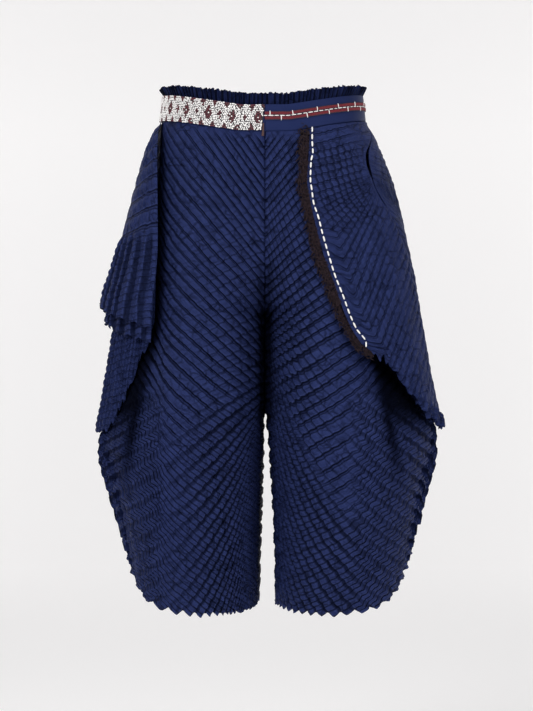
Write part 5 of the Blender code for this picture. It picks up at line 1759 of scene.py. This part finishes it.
# For each sheet: its flat width and length, the flat area of its cut, what holds it and what it hangs from
CUTS = {
    "front_right": (0.60, 0.72, 0.290, "hung", ["waistband_front_right"]),
    "front_left": (0.60, 0.72, 0.290, "hung", ["waistband_front_left"]),
    "back_right": (0.60, 0.72, 0.290, "hung", ["waistband_back"]),
    "back_left": (0.60, 0.72, 0.290, "hung", ["waistband_back"]),
    "right_drape_upper": (0.42, 0.34, 0.085, "draped", ["waistband_front_right", "waistband_back"]),
    "right_drape_middle": (0.46, 0.18, 0.048, "draped", ["right_drape_upper"]),
    "right_drape_lower": (0.40, 0.26, 0.060, "draped", ["right_drape_middle"]),
    "left_overlay_front": (0.42, 0.50, 0.076, "gathered", ["waistband_front_left"]),
    "left_overlay_back": (0.34, 0.50, 0.095, "draped", ["waistband_back"]),
}
dressed = {**petals, **tiers, **overlays}
for piece in (fringe_tape, fringe_curls):
    wear(piece, "brown_fringe")
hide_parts("fringe_trim")
wear(running_stitches, "white_beads")
for node, piece in dressed.items():
    wear(piece, "navy_pleats", node)
for node, piece in bands.items():
    wear(piece, "navy_band", node)
wear(frill, "navy_pleats", "waist_heading")
wear(bead_strip, "white_beads", "bead_panel")
wear(braid_ground, "red_braid", "stripe_braid")
for piece in bead_sets:
    wear(piece, "white_beads")
for piece in stripe_parts:
    wear(piece, "red_braid" if "red" in piece.name else "white_beads")

for node, (wide, long, area, held, hangs_from) in CUTS.items():
    print(f"{node}: {cloth_area(dressed[node]):.4f} m2 of cloth shows, cut {area:.3f}")
    rests = [{**bands, **dressed}[n].name for n in hangs_from]
TRIMS = (
    (bands["waistband_front_right"], (0.205, 0.0370), ["bead_strip_backing"]),
    (bands["waistband_front_left"], (0.200, 0.0370), ["braid_ground"]),
    (bands["waistband_back"], (0.370, 0.0370), []),
    (frill, (1.10, 0.0180), ["band_back"]),
    (bead_strip, (0.200, 0.0360), ["band_front_right"]),
    (braid_ground, (0.200, 0.0120), ["band_front_left"]),
)
for piece, (wide, long), rests in TRIMS:
    print(f"{piece.name}: {cloth_area(piece):.4f} m2, cut {wide * long:.4f}")

# %% [markdown]
# ## Floor, light and camera
# The studio is a pale sweep: a floor that curves up into a wall, so no line shows behind the garment.
# Large soft lights keep the folds readable without hard shadows. The camera stands level with the
# middle of the picture, 3.2 metres away, with a long lens.

# %% Studio
FLOOR, SWEEP_SIDE, WALL, WALL_TOP, BEND = -1.05, 8.0, 6.0, 7.0, 1.6
sweep_profile = [(y, FLOOR) for y in (-SWEEP_SIDE, -3.0, 0.0, WALL - BEND)]
for a in np.linspace(0.1, math.pi / 2, 14):
    sweep_profile.append((WALL - BEND + BEND * math.sin(a), FLOOR + BEND * (1 - math.cos(a))))
sweep_profile.append((WALL, WALL_TOP))
sweep_points = [(x, y, z) for y, z in sweep_profile for x in (-SWEEP_SIDE, SWEEP_SIDE)]
sweep_faces = [(i, i + 1, i + 3, i + 2) for i in range(0, len(sweep_points) - 2, 2)]
sweep_mesh = bpy.data.meshes.new("sweep")
sweep_mesh.from_pydata(sweep_points, [], sweep_faces)
sweep_mesh.shade_smooth()
sweep = link(bpy.data.objects.new("studio_sweep", sweep_mesh))
paper = speckled(
    "studio_paper", [1.2], (0.875, 0.868, 0.868, 1), (0.885, 0.878, 0.878, 1),
    Roughness=0.95, Specular_IOR_Level=0.1, Emission_Color=(1.0, 0.99, 0.99, 1), Emission_Strength=0.19,
)
sweep_mesh.materials.append(paper)
sweep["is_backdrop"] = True

# Each light's place, what it points at, its size and its power
LIGHTS = {
    "key": ((-1.6, -2.6, 1.6), (0, 0, -0.3), 1.6, 66),
    "fill": ((2.2, -2.2, 0.2), (0, 0, -0.35), 1.8, 31),
    "top": ((0, -0.4, 2.2), (0, 0, -0.3), 1.5, 16),
    "backdrop_left": ((-3.0, 4.0, 0.3), (0, 5.6, -0.9), 1.5, 16),
    "backdrop_right": ((3.0, 4.0, 0.3), (0, 5.6, -0.9), 1.5, 16),
}
for name, (place, target, size, power) in LIGHTS.items():
    data = bpy.data.lights.new(name, "AREA")
    data.shape, data.size, data.energy = "SQUARE", size, power
    lamp = link(bpy.data.objects.new(name, data))
    lamp.location = place
    lamp.rotation_euler = (Vector(target) - Vector(place)).to_track_quat("-Z", "Y").to_euler()
world = bpy.data.worlds.new("studio")
world.use_nodes = True
background = world.node_tree.nodes["Background"]
background.inputs["Color"].default_value = (0.95, 0.94, 0.945, 1)
background.inputs["Strength"].default_value = 0.42
bpy.context.scene.world = world
bpy.context.scene.view_settings.view_transform = "Standard"

# %% Camera
camera_data = bpy.data.cameras.new("camera")
camera_data.lens, camera_data.sensor_width = 115.7, 36.0
camera_data.clip_end = 50
camera = link(bpy.data.objects.new("camera", camera_data))
camera.location = (0.0021, -3.2, -0.3437)
camera.rotation_euler = (math.radians(90), 0, 0)
bpy.context.scene.camera = camera

# %% [markdown]
# ## Sizes at the end
# The dressed garment should keep the size of its CAD model. We print the size of both boxes.

# %% Sizes
dressed_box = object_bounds()
sizes = {
    "cad": [[float(n) for n in corner] for corner in cad_box],
    "visual": [[float(n) for n in corner] for corner in dressed_box],
}
for key, (low, high) in sizes.items():
    print(key, [round(1000 * (h - l), 1) for l, h in zip(low, high)], "mm")
